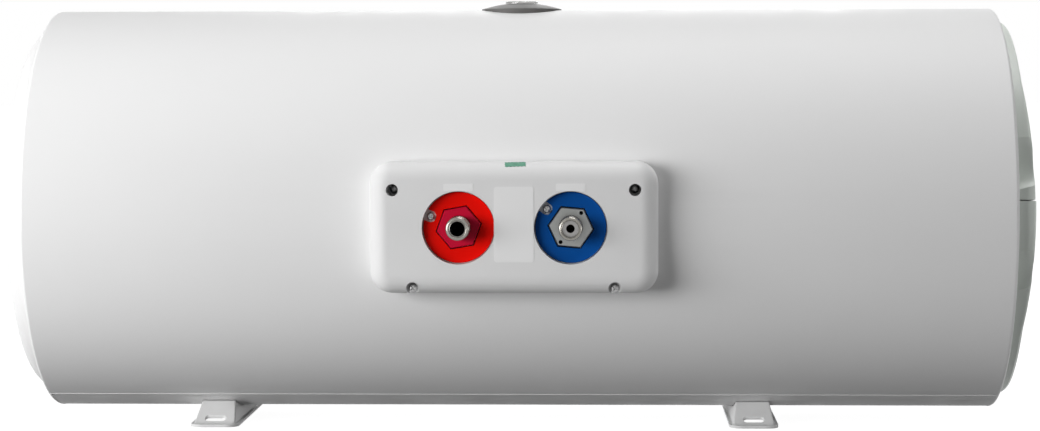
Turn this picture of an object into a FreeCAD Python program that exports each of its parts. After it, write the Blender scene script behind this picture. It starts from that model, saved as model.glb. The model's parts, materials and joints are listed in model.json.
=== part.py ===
import FreeCAD, Part
import math
import os

V = FreeCAD.Vector

# Storage water heater lying on its two wall brackets, in millimetres.
# While it is drawn, X runs along the casing from its mid length, Y points away from the
# pipe side, Z points away from the wall and the axis of the casing is the X axis.
# The finished pieces are moved so that the origin is under the middle, on the wall plane.

# Outer casing
CASING_R = 192.0
CASING_LENGTH = 902.0
CASING_SHEET = 0.8
CASING_EDGE_R = 3.0
LIP_CLEARANCE = 0.6
SEAM_ANGLE = 64.0
SEAM_STEP = 0.3
SEAM_STRIP_ANGLE = 34.0
SEAM_BEAD_R = 0.6
SEAM_RIVET_R = 1.6
SEAM_RIVET_FROM_END = 5.5

# White dished cap on the left end
CAP_RIM_STEP = 15.2
CAP_KNUCKLE_R = 19.3
CAP_CROWN_R = 555.6
CAP_WALL = 2.5
CAP_FLANGE_WIDTH = 6.0
CAP_FLANGE_THICKNESS = 2.2

# Two-part service cover on the right end
COVER_RIM_STEP = 13.5
COVER_SKIRT = 8.8
COVER_CHAMFER_RADIAL = 1.6
COVER_CHAMFER_HEIGHT = 10.2
COVER_FLANK_RADIAL = 55.8
COVER_BREAK_HEIGHT = 24.0
COVER_TOP_HEIGHT = 34.0
COVER_WALL = 2.5
COVER_INSERTION = 4.0
COVER_LOWER_PROUD = 0.7
COVER_PARTING_Z = 5.5
COVER_PARTING_TILT = 3.2
COVER_PARTING_GAP = 1.0
COVER_BELT_HEIGHT = 16.3
COVER_CROWN_R = 1080.0
COVER_CROWN_Z = 8.0
COVER_BELT_EDGE_R = 2.5
SCOOP_HOLLOW_R = 30.0
SCOOP_SHOULDER_R = 50.0
SCOOP_SHOULDER_PROUD = 0.3
SCOOP_UPPER = (25.0, 78.0)     # heights of a scoop's crisp lower edge and of its soft shoulder
SCOOP_LOWER = (-67.0, -24.0)
SCOOP_RISE = 0.3
SCOOP_FROM_CASING = 0.6
COVER_SCREW_INSET = 48.5
COVER_SCREW_ANGLES = (40.0, 140.0, 220.0, 320.0)
COVER_SCREW_HEAD_R = 4.0
COVER_SCREW_HEAD_HEIGHT = 2.8
COVER_SCREW_SHANK_R = 1.9
COVER_SCREW_LENGTH = 12.0
COVER_WELL_R = 5.0
COVER_WELL_WALL = 1.8
COVER_WELL_FLOOR = 2.0
COVER_WELL_DEPTH = 9.0

# Inner tank
FOAM_THICKNESS = 20.0
TANK_SHEET = 2.0
TANK_KNUCKLE_R = 30.0
TANK_CROWN_R = 500.0
TANK_LEFT_GAP = 20.0
END_PLATE_INSET = 43.0
END_PLATE_THICKNESS = 2.0
END_PLATE_SKIRT_WALL = 2.0
FOAM_LEFT_INSET = 14.0
SLIP = 0.15

# Flange, heater and what it carries
NECK_R = 62.0
NECK_BORE_R = 46.0
NECK_HEIGHT = 12.0
NECK_ABOVE_PLATE = 1.0
GASKET_THICKNESS = 3.0
FLANGE_THICKNESS = 5.0
STUD_COUNT = 6
STUD_CIRCLE_R = 54.0
STUD_R = 4.0
STUD_ABOVE_NUT = 4.0
FLANGE_NUT_FLATS = 13.0
FLANGE_NUT_HEIGHT = 6.5
ELEMENT_TUBE_R = 4.25
ELEMENT_LENGTH = 290.0
ELEMENT_LEG_INNER_Y = 12.0
ELEMENT_LEG_OUTER_Y = 30.0
ELEMENT_LEG_Z = 8.0
ELEMENT_TERMINAL_R = 2.4
ELEMENT_TERMINAL_LENGTH = 12.0
POCKET_R = 6.0
POCKET_WALL = 1.0
POCKET_Z = 30.0
POCKET_LENGTH = 240.0
ANODE_R = 11.0
ANODE_Z = -24.0
ANODE_LENGTH = 250.0
ANODE_ROD_R = 3.0
ANODE_NUT_FLATS = 10.0
ANODE_NUT_HEIGHT = 5.0

# Thermostat, its knob, the terminal block, the lamp and the cable gland
THERMOSTAT_WIDTH = 50.0
THERMOSTAT_HEIGHT = 46.0
THERMOSTAT_DEPTH = 30.0
THERMOSTAT_STANDOFF = 13.0
THERMOSTAT_ROD_R = 4.0
THERMOSTAT_ROD_LENGTH = 200.0
KNOB_Z = 42.0
KNOB_R = 18.0
KNOB_HEIGHT = 9.0
KNOB_GAP = 0.8
KNOB_RECESS = 5.5
KNOB_WELL_GAP = 2.5
KNOB_GRIP_COUNT = 12
KNOB_GRIP_R = 2.0
KNOB_MARK_HEIGHT = 0.6
SPINDLE_R = 3.0
SPINDLE_RUNNING_GAP = 0.05
SPINDLE_DEPTH = 10.0
SPINDLE_HOLE_GAP = 1.0
RESET_BUTTON_R = 3.0
RESET_BUTTON_HEIGHT = 4.0
RESET_BUTTON_SEAT = 5.0
RESET_BUTTON_TRAVEL = 2.0
RESET_BUTTON_Y = 18.0
RESET_BUTTON_BELOW_SPINDLE = 2.0
BUTTON_RUNNING_GAP = 0.05
TERMINAL_BLOCK_SIZE = (18.0, 46.0, 22.0)
TERMINAL_BLOCK_Y = -78.0
TERMINAL_BLOCK_POST_GAP = 3.762
TERMINAL_SCREW_PITCH = 13.0
TERMINAL_SCREW_R = 2.6
TERMINAL_SCREW_HEIGHT = 1.6
LAMP_R = 4.0
LAMP_Z = 84.0
LAMP_FLANGE_R = 6.0
LAMP_FLANGE_HEIGHT = 1.2
LAMP_LENGTH = 12.0
GLAND_Y = 62.0
GLAND_Z = -70.0
GLAND_R = 8.0
GLAND_BORE_R = 4.0
GLAND_FLATS = 22.0
GLAND_FLANGE_HEIGHT = 5.0
GLAND_NOSE_R = 8.5
GLAND_NOSE_LENGTH = 8.0
GLAND_INNER_LENGTH = 12.0

# Water connections
PIPE_SPACING = 100.0
PIPE_Z = -6.8
NIPPLE_R = 10.48
NIPPLE_SHANK_R = 10.65
NIPPLE_THREAD_FROM_NUT = 1.0
NIPPLE_PROUD = 45.5
NIPPLE_END_ROUND = 2.4
NIPPLE_ROOT_INSIDE = 6.0
HOT_BORE_R = 6.85
COLD_BORE_R = 7.85
INSERT_BORE_R = 3.8
INSERT_LENGTH = 14.0
INSERT_RECESS = 5.0
HOT_PIPE_WALL = 1.5
HOT_PIPE_TOP_GAP = 14.0
SPREADER_R = 17.0
SPREADER_LENGTH = 34.0
SPREADER_WALL = 1.5
SPREADER_SLOT_COUNT = 6
SPREADER_SLOT_WIDTH = 5.0
GROMMET_R = 15.0
GROMMET_INNER_HEIGHT = 2.0
GROMMET_OUTER_R = 18.0
GROMMET_OUTER_HEIGHT = 2.5
NUT_PROUD = 22.0
NUT_FLATS = 34.5
NUT_THICKNESS = 7.0
NUT_EDGE_BEVEL = 0.8
NUT_COLLAR_R = 14.5
HOT_NUT_ANGLE = 10.0
COLD_NUT_ANGLE = -5.0
SPANNER_HOLE_R = 1.8
SPANNER_HOLE_AT_R = 15.9
SPANNER_HOLE_ANGLES = (54.5, 235.0)

# White cover over the connections
BOX_CENTRE_X = -1.0
BOX_WIDTH = 258.0
BOX_TOP_Z = 51.6
BOX_BOTTOM_Z = -66.0
BOX_PROUD = 28.0
BOX_CORNER_R = 20.0
BOX_EDGE_R = 16.0
BOX_WALL = 2.5
BOX_CASING_GAP = 0.15
DISC_HOLE_R = 32.7
DISC_R = 31.7
DISC_THICKNESS = 3.0
DISC_RECESS = 7.0
DISC_SEAT_R = 23.0
DISC_SEAT_THICKNESS = 2.0
DISC_TUBE_WALL = 2.0
DISC_HEX_GAP = 1.0
DISC_SCREW_AT_R = 27.1
HOT_SCREW_ANGLE = 158.7
COLD_SCREW_ANGLE = 142.6
DISC_NOTCH_R = 5.2
DISC_SCREW_HEAD_R = 3.5
DISC_SCREW_HEAD_HEIGHT = 2.2
DISC_SCREW_SHANK_R = 1.4
DISC_SCREW_LENGTH = 9.0
DISC_BOSS_R = 3.6
DISC_BOSS_LENGTH = 7.0
UPPER_SCREW_SPACING = 216.4
UPPER_SCREW_Z = 26.8
UPPER_WELL_R = 5.5
LOWER_SCREW_SPACING = 180.6
LOWER_SCREW_Z = -61.1
LOWER_WELL_R = 5.8
LOWER_WELL_DEPTH = 11.0
BOX_WELL_WALL = 1.8
BOX_WELL_FLOOR = 2.0
BOX_SCREW_HEAD_R = 4.0
BOX_SCREW_HEAD_HEIGHT = 2.6
BOX_SCREW_SHANK_R = 1.9
BOX_SCREW_BITE = 9.0
LOWER_SCREW_LENGTH = 12.0
BOX_GROOVE_Z = -58.5
BOX_GROOVE_WIDTH = 0.6
BOX_GROOVE_DEPTH = 0.6
SCREW_SLOT_WIDTH = 1.0
SCREW_SLOT_DEPTH = 1.1
SCREW_SLOT_REACH = 1.1

# Labels and sticker on that cover, all left bare
LABEL_THICKNESS = 0.3
NOTICE_WIDTH = 35.4
NOTICE_BOTTOM_Z = -37.5
NOTICE_TOP_Z = 29.8
NOTICE_X = -0.6
NOTICE_CORNER_R = 2.5
SMALL_LABEL_WIDTH = 26.3
SMALL_LABEL_HEIGHT = 6.4
SMALL_LABEL_Z = 29.3
STICKER_X = 0.6
STICKER_WIDTH = 18.0
STICKER_Z = 49.4
STICKER_HEIGHT = 3.8

# Thermometer on the side away from the wall
GAUGE_X = -1.0
GAUGE_R = 38.6
GAUGE_EDGE_STEP = 0.9
GAUGE_RISE = 6.1
GAUGE_WALL = 2.0
LENS_R = 15.7
LENS_PROUD = 1.3
LENS_THICKNESS = 2.0
LENS_EDGE_R = 0.8
LENS_LEDGE = 1.2
DIAL_DEPTH = 4.2
DIAL_THICKNESS = 0.8
POINTER_ABOVE_DIAL = 0.6
POINTER_THICKNESS = 0.6
POINTER_LENGTH = 11.5
POINTER_TAIL = 4.0
POINTER_WIDTH = 1.8
POINTER_HUB_R = 2.2
POINTER_PIN_R = 0.7
POINTER_RUNNING_GAP = 0.05
POINTER_PIN_LENGTH = 6.0
GAUGE_CASE_R = 18.5
GAUGE_CASE_WALL = 1.2
GAUGE_CASE_TANK_GAP = 0.4

# Wall brackets, pressed from sheet
BRACKET_LEFT_X = -290.0
BRACKET_RIGHT_X = 220.0
BRACKET_SHEET = 2.5
BRACKET_WEB_WIDTH = 32.0
BRACKET_SIDE_FLARE = 4.0
BRACKET_BASE_WIDTH = 46.0
BRACKET_BASE_CORNER = 12.0
BRACKET_HALF_LENGTH = 100.0
BRACKET_CASING_GAP = 0.15
WALL_GAP = 10.5
SADDLE_HALF = 63.0
RAMP_FOOT = 93.0
SLOT_Y = 86.0
SLOT_LENGTH = 20.0
SLOT_R = 3.7
BRACKET_BOLT_ANGLE = 11.0
BRACKET_BOLT_R = 4.0
BRACKET_BOLT_LENGTH = 14.0
BRACKET_BOLT_FLATS = 13.0
BRACKET_BOLT_HEAD = 4.5
BRACKET_BOLT_HOLE_GAP = 0.5
BRACKET_BOSS_R = 11.0

# Small details
PAST = 5.0                     # how far a cutting tool runs past the piece it cuts
THROUGH = 30.0                 # how far a drilling tool reaches either side of the wall it drills
TOUCH = 1.0                    # how far two fused pieces of one part run into each other
NUT_COLLAR_INSIDE = 10.0
ANODE_ROD_BITE = 10.0
POINTER_TIP_WIDTH = 0.5
POINTER_HUB_PROUD = 0.4
POINTER_PIN_END_GAP = 0.5
POINTER_BEARING_WALL = 1.5
KNOB_MARK_WIDTH = 1.6
KNOB_MARK_FROM_CENTRE = 4.0
KNOB_MARK_FROM_EDGE = 3.0
BOSS_FLOOR = 4.0
SOCKET_END_GAP = 0.5
BRACKET_BOLT_GAP = 0.3
BRACKET_BOLT_HOLE_DEPTH = 6.0
MOUTH_WALL = 4.0               # collar around the spindle on the thermostat
MOUTH_HEIGHT = 3.0
THERMOSTAT_CORNER = 2.0
KNOB_EDGE_R = 1.5
KNOB_TOP_WALL = 2.5
WIRE_HOLE_R = 2.2              # wire holes of the terminal block
WIRE_HOLE_RISE = 6.0
GAUGE_COIL_R = 8.0
SMALL_LABEL_CORNER = 0.8
DISC_EDGE_R = 0.6
DISC_SCREW_EDGE_R = 0.8
BOX_SCREW_EDGE_R = 0.9
SCOOP_RUN_OUT = math.radians(30.0)     # how far a scoop's hollow turns on past its crisp edge
COVER_FORM_REACH = 70.0        # how far the right cover's tools reach either side of the casing's end
POINTER_REST_ANGLE = 225.0     # the pointer stands at the cold end of the scale

# Sizes that follow from the ones above
HALF = CASING_LENGTH / 2.0
WALL_Z = -CASING_R - WALL_GAP
TANK_R = CASING_R - FOAM_THICKNESS
CAP_RIM_R = CASING_R - CAP_RIM_STEP
COVER_RIM_R = CASING_R - COVER_RIM_STEP
COVER_BREAK_R = COVER_RIM_R - COVER_CHAMFER_RADIAL - COVER_FLANK_RADIAL
COVER_SCREW_CIRCLE_R = COVER_RIM_R - COVER_SCREW_INSET
COVER_POST_R = COVER_WELL_R + COVER_WELL_WALL
LOWER_POST_Z = COVER_SCREW_CIRCLE_R * math.sin(math.radians(COVER_SCREW_ANGLES[2]))
TERMINAL_BLOCK_Z = LOWER_POST_Z + COVER_POST_R + TERMINAL_BLOCK_POST_GAP + TERMINAL_BLOCK_SIZE[2] / 2.0
CAP_CENTRE = math.sqrt((CAP_CROWN_R - CAP_KNUCKLE_R) ** 2 - (CAP_RIM_R - CAP_KNUCKLE_R) ** 2)
CAP_HEIGHT = CAP_CROWN_R - CAP_CENTRE
COVER_TOP = COVER_TOP_HEIGHT + COVER_LOWER_PROUD
PLATE_X = HALF - END_PLATE_INSET
NECK_TOP_X = PLATE_X + NECK_ABOVE_PLATE
GASKET_TOP_X = NECK_TOP_X + GASKET_THICKNESS
FLANGE_TOP_X = GASKET_TOP_X + FLANGE_THICKNESS
THERMOSTAT_X = FLANGE_TOP_X + THERMOSTAT_STANDOFF
THERMOSTAT_TOP_X = THERMOSTAT_X + THERMOSTAT_DEPTH
BOX_FRONT_Y = -CASING_R - BOX_PROUD
NIPPLE_END_Y = -CASING_R - NIPPLE_PROUD
NUT_FACE_Y = -CASING_R - NUT_PROUD
DISC_FACE_Y = BOX_FRONT_Y + DISC_RECESS
DISC_BACK_Y = DISC_FACE_Y + DISC_THICKNESS
LOWER_WELL_FLOOR_Y = BOX_FRONT_Y + LOWER_WELL_DEPTH
NUT_BACK_Y = NUT_FACE_Y + NUT_THICKNESS
GAUGE_EDGE_Z = CASING_R + GAUGE_EDGE_STEP
GAUGE_CROWN_Z = GAUGE_EDGE_Z + GAUGE_RISE
LENS_TOP_Z = GAUGE_CROWN_Z + LENS_PROUD
LENS_BOTTOM_Z = LENS_TOP_Z - LENS_THICKNESS
DIAL_TOP_Z = LENS_BOTTOM_Z - DIAL_DEPTH
GAUGE_CASE_BOTTOM_Z = TANK_R + GAUGE_CASE_TANK_GAP
SADDLE_TOP_Z = -math.sqrt((CASING_R + BRACKET_CASING_GAP) ** 2 - SADDLE_HALF ** 2)
ORIGIN_Y = (CASING_R + NIPPLE_END_Y) / 2.0
FACE_OUT = V(0, -1, 0)
PIPES = {"hot": -PIPE_SPACING / 2.0, "cold": PIPE_SPACING / 2.0}


def outline(start, steps):
    """Closed wire through the steps: a point is a straight run, a pair is an arc (middle, end)."""
    edges = []
    here = start
    for step in steps + [start]:
        if isinstance(step, tuple):
            edges.append(Part.Arc(here, step[0], step[1]).toShape())
            here = step[1]
        elif (step - here).Length > 1e-6:
            edges.append(Part.LineSegment(here, step).toShape())
            here = step
    return Part.Wire(edges)


def turned(start, steps):
    """Solid of revolution about the X axis, from an outline given as (x, 0, radius)."""
    face = Part.Face(outline(start, steps))
    return face.revolve(V(0, 0, 0), V(1, 0, 0), 360)


def rod(radius, start, end):
    """Round rod from one point to the other."""
    return Part.makeCylinder(radius, (end - start).Length, start, end - start)


def hexagon(flats, start, end, angle=0.0):
    """Hexagonal bar between two points; a corner lies at the angle about its axis."""
    corner = flats / math.sqrt(3.0)
    points = []
    for k in range(7):
        a = math.radians(60.0 * k)
        points.append(V(corner * math.cos(a), corner * math.sin(a), 0))
    bar = Part.Face(Part.makePolygon(points)).extrude(V(0, 0, (end - start).Length))
    bar.rotate(V(0, 0, 0), V(0, 0, 1), angle)
    bar.Placement = FreeCAD.Placement(start, FreeCAD.Rotation(V(0, 0, 1), end - start)) * bar.Placement
    return bar


def box(low, high):
    """Box between two opposite corners."""
    size = high - low
    return Part.makeBox(size.x, size.y, size.z, low)


def around_x(shape, angle):
    """Copy turned about the casing's axis."""
    copy = shape.copy()
    copy.rotate(V(0, 0, 0), V(1, 0, 0), angle)
    return copy


def cut_all(shape, tools):
    """Shape less every tool."""
    return shape.cut(tools) if tools else shape


def dished(x, side, rim, knuckle, crown):
    """Arc from the rim over the knuckle, then arc over the crown to the axis."""
    centre = math.sqrt((crown - knuckle) ** 2 - (rim - knuckle) ** 2)
    turn = math.asin((rim - knuckle) / (crown - knuckle))
    meet = V(x + side * (crown * math.cos(turn) - centre), 0, crown * math.sin(turn))
    half = (turn + math.pi / 2.0) / 2.0
    corner = V(x + side * knuckle * math.cos(half), 0, rim - knuckle + knuckle * math.sin(half))
    middle = V(x + side * (crown * math.cos(turn / 2.0) - centre), 0, crown * math.sin(turn / 2.0))
    return [(corner, meet), (middle, V(x + side * (crown - centre), 0, 0))]


def dished_height(rim, knuckle, crown):
    """Height of a dished end over its rim."""
    return crown - math.sqrt((crown - knuckle) ** 2 - (rim - knuckle) ** 2)


def in_pipe_plane(name, radius, angle, y):
    """Point at a polar position round one connection, seen from the pipe side."""
    a = math.radians(angle)
    return V(PIPES[name] + radius * math.cos(a), y, PIPE_Z + radius * math.sin(a))


def casing_y(z, radius):
    """Y of the pipe side of a cylinder round the casing's axis, at height z."""
    return -math.sqrt(radius ** 2 - z ** 2)


def pipe_rod(name, radius, y_start, y_end):
    """Rod on one connection's axis."""
    return rod(radius, V(PIPES[name], y_start, PIPE_Z), V(PIPES[name], y_end, PIPE_Z))


def bracket_bolt_axes():
    """Start on the casing's axis and radial direction of each bracket bolt."""
    axes = []
    for x in (BRACKET_LEFT_X, BRACKET_RIGHT_X):
        for side in (-1, 1):
            a = math.radians(side * BRACKET_BOLT_ANGLE)
            axes.append((V(x, 0, 0), V(0, math.sin(a), -math.cos(a))))
    return axes


def box_screw_points(spacing, z):
    """X and Z of a pair of screws in the connection cover."""
    return [(BOX_CENTRE_X - spacing / 2.0, z), (BOX_CENTRE_X + spacing / 2.0, z)]


def casing():
    """Rolled sheet with a turned-in lip at each end and a lapped seam on the wall side."""
    e = CASING_EDGE_R
    t = CASING_SHEET
    r = CASING_R
    k = math.sqrt(0.5)
    left_lip = CAP_RIM_R + LIP_CLEARANCE
    right_lip = COVER_RIM_R + LIP_CLEARANCE
    shell = turned(V(-HALF, 0, left_lip), [
        V(-HALF, 0, r - e),
        (V(-HALF + e - e * k, 0, r - e + e * k), V(-HALF + e, 0, r)),
        V(HALF - e, 0, r),
        (V(HALF - e + e * k, 0, r - e + e * k), V(HALF, 0, r - e)),
        V(HALF, 0, right_lip),
        V(HALF - t, 0, right_lip),
        V(HALF - t, 0, r - e),
        (V(HALF - e + (e - t) * k, 0, r - e + (e - t) * k), V(HALF - e, 0, r - t)),
        V(-HALF + e, 0, r - t),
        (V(-HALF + e - (e - t) * k, 0, r - e + (e - t) * k), V(-HALF + t, 0, r - e)),
        V(-HALF + t, 0, left_lip)])
    strip = Part.Face(outline(V(-HALF + e, -r - 1, 0), [
        V(HALF - e, -r - 1, 0), V(HALF - e, -r + SEAM_STEP, 0), V(-HALF + e, -r + SEAM_STEP, 0)]))
    strip = around_x(strip.revolve(V(0, 0, 0), V(1, 0, 0), SEAM_STRIP_ANGLE), SEAM_ANGLE)
    bead_y = -r + SEAM_STEP / 2.0
    bead = rod(SEAM_BEAD_R, V(-HALF + e, bead_y, 0), V(HALF - e, bead_y, 0))
    shell = shell.cut(strip).fuse(around_x(bead, SEAM_ANGLE)).removeSplitter()
    holes = [pipe_rod(name, GROMMET_R, -r - PAST, -r + THROUGH) for name in PIPES]
    rivet_x = -HALF + SEAM_RIVET_FROM_END
    hole = rod(SEAM_RIVET_R, V(rivet_x, -r - PAST, 0), V(rivet_x, -r + PAST, 0))
    holes.append(around_x(hole, SEAM_ANGLE + 1.0))
    holes.append(rod(GAUGE_CASE_R + SLIP, V(GAUGE_X, 0, r - THROUGH), V(GAUGE_X, 0, r + PAST)))
    for x, z in box_screw_points(UPPER_SCREW_SPACING, UPPER_SCREW_Z):
        holes.append(rod(BOX_SCREW_SHANK_R + SLIP, V(x, -r - PAST, z), V(x, -r + THROUGH, z)))
    for start, direction in bracket_bolt_axes():
        holes.append(rod(BRACKET_BOLT_R + BRACKET_BOLT_HOLE_GAP, start + direction * (r - PAST),
                         start + direction * (r + PAST)))
    return cut_all(shell, holes)


def left_cap():
    """Dished cap whose skirt passes the casing's lip and whose flange lies behind it."""
    w = CAP_WALL
    back = -HALF + CASING_SHEET + CAP_FLANGE_THICKNESS
    outer = dished(-HALF, -1, CAP_RIM_R, CAP_KNUCKLE_R, CAP_CROWN_R)
    inner = dished(-HALF, -1, CAP_RIM_R - w, CAP_KNUCKLE_R - w, CAP_CROWN_R - w)
    solid = turned(V(-HALF, 0, CAP_RIM_R), outer + [V(-HALF, 0, 0)])
    hollow = turned(V(-HALF, 0, CAP_RIM_R - w), inner + [V(-HALF, 0, 0)])
    skirt = turned(V(-HALF, 0, CAP_RIM_R), [
        V(-HALF + CASING_SHEET, 0, CAP_RIM_R),
        V(-HALF + CASING_SHEET, 0, CAP_RIM_R + CAP_FLANGE_WIDTH),
        V(back, 0, CAP_RIM_R + CAP_FLANGE_WIDTH),
        V(back, 0, CAP_RIM_R - w),
        V(-HALF, 0, CAP_RIM_R - w)])
    return solid.cut(hollow).fuse(skirt).removeSplitter()


def cover_form(inset, proud, base_x):
    """Right cover's filled form, with its wall inset and its face standing proud."""
    r = COVER_RIM_R - inset
    lift = proud - inset
    skirt = V(HALF + COVER_SKIRT - inset, 0, r)
    chamfer = V(HALF + COVER_CHAMFER_HEIGHT + lift, 0, r - COVER_CHAMFER_RADIAL)
    brk = V(HALF + COVER_BREAK_HEIGHT + lift, 0, COVER_BREAK_R)
    rise = COVER_TOP_HEIGHT - COVER_BREAK_HEIGHT
    ball = (COVER_BREAK_R ** 2 + rise ** 2) / (2.0 * rise)
    half = math.asin(COVER_BREAK_R / ball) / 2.0
    top = V(brk.x + rise, 0, 0)
    dome = V(top.x - ball * (1.0 - math.cos(half)), 0, ball * math.sin(half))
    return turned(V(base_x, 0, r), [skirt, chamfer, brk, (dome, top), V(base_x, 0, 0)])


def cover_belt(inset, proud, base_x):
    """Gripping band of the right cover, with a front edge that is highest near the middle."""
    middle = V(HALF + COVER_BELT_HEIGHT + proud - COVER_CROWN_R, 0, COVER_CROWN_Z)
    reach = V(0, CASING_R, 0)
    disc = rod(COVER_RIM_R - inset, V(base_x, 0, 0), V(HALF + COVER_FORM_REACH, 0, 0))
    return disc.common(rod(COVER_CROWN_R - inset, middle - reach, middle + reach))


def on_circle(centre, radius, angle):
    """Point of a circle that lies square to the X axis."""
    return V(centre.x, centre.y + radius * math.cos(angle), centre.z + radius * math.sin(angle))


def circles_meet(first, first_r, second, second_r):
    """Where two circles square to the X axis meet, away from the axis."""
    across = second - first
    along = (first_r ** 2 - second_r ** 2 + across.Length ** 2) / (2.0 * across.Length)
    aside = math.sqrt(first_r ** 2 - along ** 2)
    unit = across * (1.0 / across.Length)
    square = V(0, unit.z, -unit.y)
    points = [first + unit * along + square * aside * side for side in (1.0, -1.0)]
    return max(points, key=lambda point: point.Length)


def scoop_section(crease_z, shoulder_z, extra):
    """Section of a scoop: a hollow that sweeps out to a crisp edge, below a soft shoulder."""
    crease = V(0, -math.sqrt(COVER_RIM_R ** 2 - crease_z ** 2), crease_z)
    lean = math.asin(shoulder_z / COVER_RIM_R)
    out = V(0, -math.cos(lean), math.sin(lean))
    shoulder = out * (COVER_RIM_R - SCOOP_SHOULDER_R + SCOOP_SHOULDER_PROUD)
    hollow = circles_meet(crease, SCOOP_HOLLOW_R, shoulder, SCOOP_HOLLOW_R + SCOOP_SHOULDER_R)
    join = math.atan2(shoulder.z - hollow.z, shoulder.y - hollow.y)
    end = math.atan2(crease.z - hollow.z, crease.y - hollow.y) - SCOOP_RUN_OUT
    hollow_r, shoulder_r = SCOOP_HOLLOW_R + extra, SCOOP_SHOULDER_R - extra
    start = on_circle(hollow, hollow_r, end)
    sweep = on_circle(hollow, hollow_r, (join + end) / 2.0)
    meet = on_circle(hollow, hollow_r, join)
    turn = on_circle(shoulder, shoulder_r, (join + 2.0 * math.pi - lean) / 2.0)
    top = on_circle(shoulder, shoulder_r, math.pi - lean)
    beyond = COVER_RIM_R + COVER_FORM_REACH
    return outline(start, [(sweep, meet), (turn, top), out * beyond, V(0, -beyond, start.z)])


def scoop_tools(heights, extra):
    """Finger scoop across the cover's belt, on the pipe side and on the far side."""
    crease_z, shoulder_z = heights
    lean = math.asin((crease_z + shoulder_z) / 2.0 / COVER_RIM_R)
    along = V(1.0, SCOOP_RISE * math.sin(lean), SCOOP_RISE * math.cos(lean))
    channel = Part.Face(scoop_section(crease_z, shoulder_z, extra)).extrude(along * COVER_FORM_REACH)
    channel.translate(V(HALF + SCOOP_FROM_CASING - extra, 0, 0))
    return [channel, channel.mirror(V(0, 0, 0), V(0, 1, 0))]


def cover_shell(proud, heights, base_x):
    """Cover's wall, with its scoops followed on the inside."""
    belt = cover_belt(0.0, proud, base_x)
    front = [e for e in belt.Edges if e.BoundBox.XMin > base_x + TOUCH]
    outer = cover_form(0.0, proud, base_x).fuse(belt.makeFillet(COVER_BELT_EDGE_R, front))
    within = base_x - TOUCH
    inner = cover_form(COVER_WALL, proud, within).fuse(cover_belt(COVER_WALL, proud, within))
    return outer.cut(scoop_tools(heights, 0.0)).cut(inner.cut(scoop_tools(heights, COVER_WALL)))


def parting_half(side):
    """Everything on one side of the inclined parting plane, less half the gap."""
    size = 2.0 * CASING_R
    near = COVER_PARTING_GAP / 2.0
    low = V(HALF - COVER_FORM_REACH, -size / 2.0, near if side > 0 else -near - size)
    half = box(low, low + V(2.0 * COVER_FORM_REACH, size, size))
    half = around_x(half, -COVER_PARTING_TILT)
    half.translate(V(0, 0, COVER_PARTING_Z))
    return half


def cover_screw_axes(side):
    """Y and Z of the screws of the upper (1) or lower (-1) half of the right cover."""
    places = []
    for angle in COVER_SCREW_ANGLES:
        a = math.radians(angle)
        if math.sin(a) * side > 0:
            places.append((COVER_SCREW_CIRCLE_R * math.cos(a), COVER_SCREW_CIRCLE_R * math.sin(a)))
    return places


def cover_face_x(radius, proud):
    """X of the right cover's outer face at a radius between its chamfer and its axis."""
    brk = HALF + COVER_BREAK_HEIGHT + proud
    chamfer_r = COVER_RIM_R - COVER_CHAMFER_RADIAL
    if radius > COVER_BREAK_R:
        slope = (COVER_BREAK_HEIGHT - COVER_CHAMFER_HEIGHT) / (chamfer_r - COVER_BREAK_R)
        return brk - slope * (radius - COVER_BREAK_R)
    rise = COVER_TOP_HEIGHT - COVER_BREAK_HEIGHT
    ball = (COVER_BREAK_R ** 2 + rise ** 2) / (2.0 * rise)
    return brk + rise - ball + math.sqrt(ball ** 2 - radius ** 2)


def well_floor_x():
    """X of the floor of the right cover's screw wells."""
    return cover_face_x(COVER_SCREW_CIRCLE_R, 0.0) - COVER_WELL_DEPTH


def sunk_well(shell, radius, floor, y, z, form):
    """Shell with a round well sunk into it, a tube closed by a floor."""
    tube = rod(radius + COVER_WELL_WALL, V(floor - COVER_WELL_FLOOR, y, z), V(HALF + COVER_FORM_REACH, y, z))
    shell = shell.fuse(tube.common(form))
    return shell.cut(rod(radius, V(floor, y, z), V(HALF + COVER_FORM_REACH, y, z)))


def add_wells(shell, side, proud):
    """Adds the screw wells of one half, with their drilled floors."""
    floor = well_floor_x()
    form = cover_form(COVER_WALL / 2.0, proud, HALF - COVER_FORM_REACH)
    for y, z in cover_screw_axes(side):
        shell = sunk_well(shell, COVER_WELL_R, floor, y, z, form)
        low = V(floor - COVER_WELL_FLOOR - PAST, y, z)
        shell = shell.cut(rod(COVER_SCREW_SHANK_R + SLIP, low, V(floor + PAST, y, z)))
    return shell


def knob_floor_x():
    """X of the floor of the well that the temperature knob sits in."""
    return cover_face_x(KNOB_Z - KNOB_R - KNOB_WELL_GAP, 0.0) - KNOB_RECESS


def face_hole(radius, y, z):
    """Hole through the right cover's face."""
    return rod(radius, V(HALF - PAST, y, z), V(HALF + COVER_FORM_REACH, y, z))


def right_cover_upper():
    """Upper half of the right cover, with the knob's well and the lamp's hole."""
    shell = cover_shell(0.0, SCOOP_UPPER, HALF - COVER_INSERTION).common(parting_half(1))
    shell = add_wells(shell, 1, 0.0)
    form = cover_form(COVER_WALL / 2.0, 0.0, HALF - COVER_FORM_REACH)
    shell = sunk_well(shell, KNOB_R + KNOB_WELL_GAP, knob_floor_x(), 0, KNOB_Z, form)
    shell = shell.cut(face_hole(SPINDLE_R + SPINDLE_HOLE_GAP, 0, KNOB_Z))
    return shell.cut(face_hole(LAMP_R + SLIP, 0, LAMP_Z)).removeSplitter()


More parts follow.
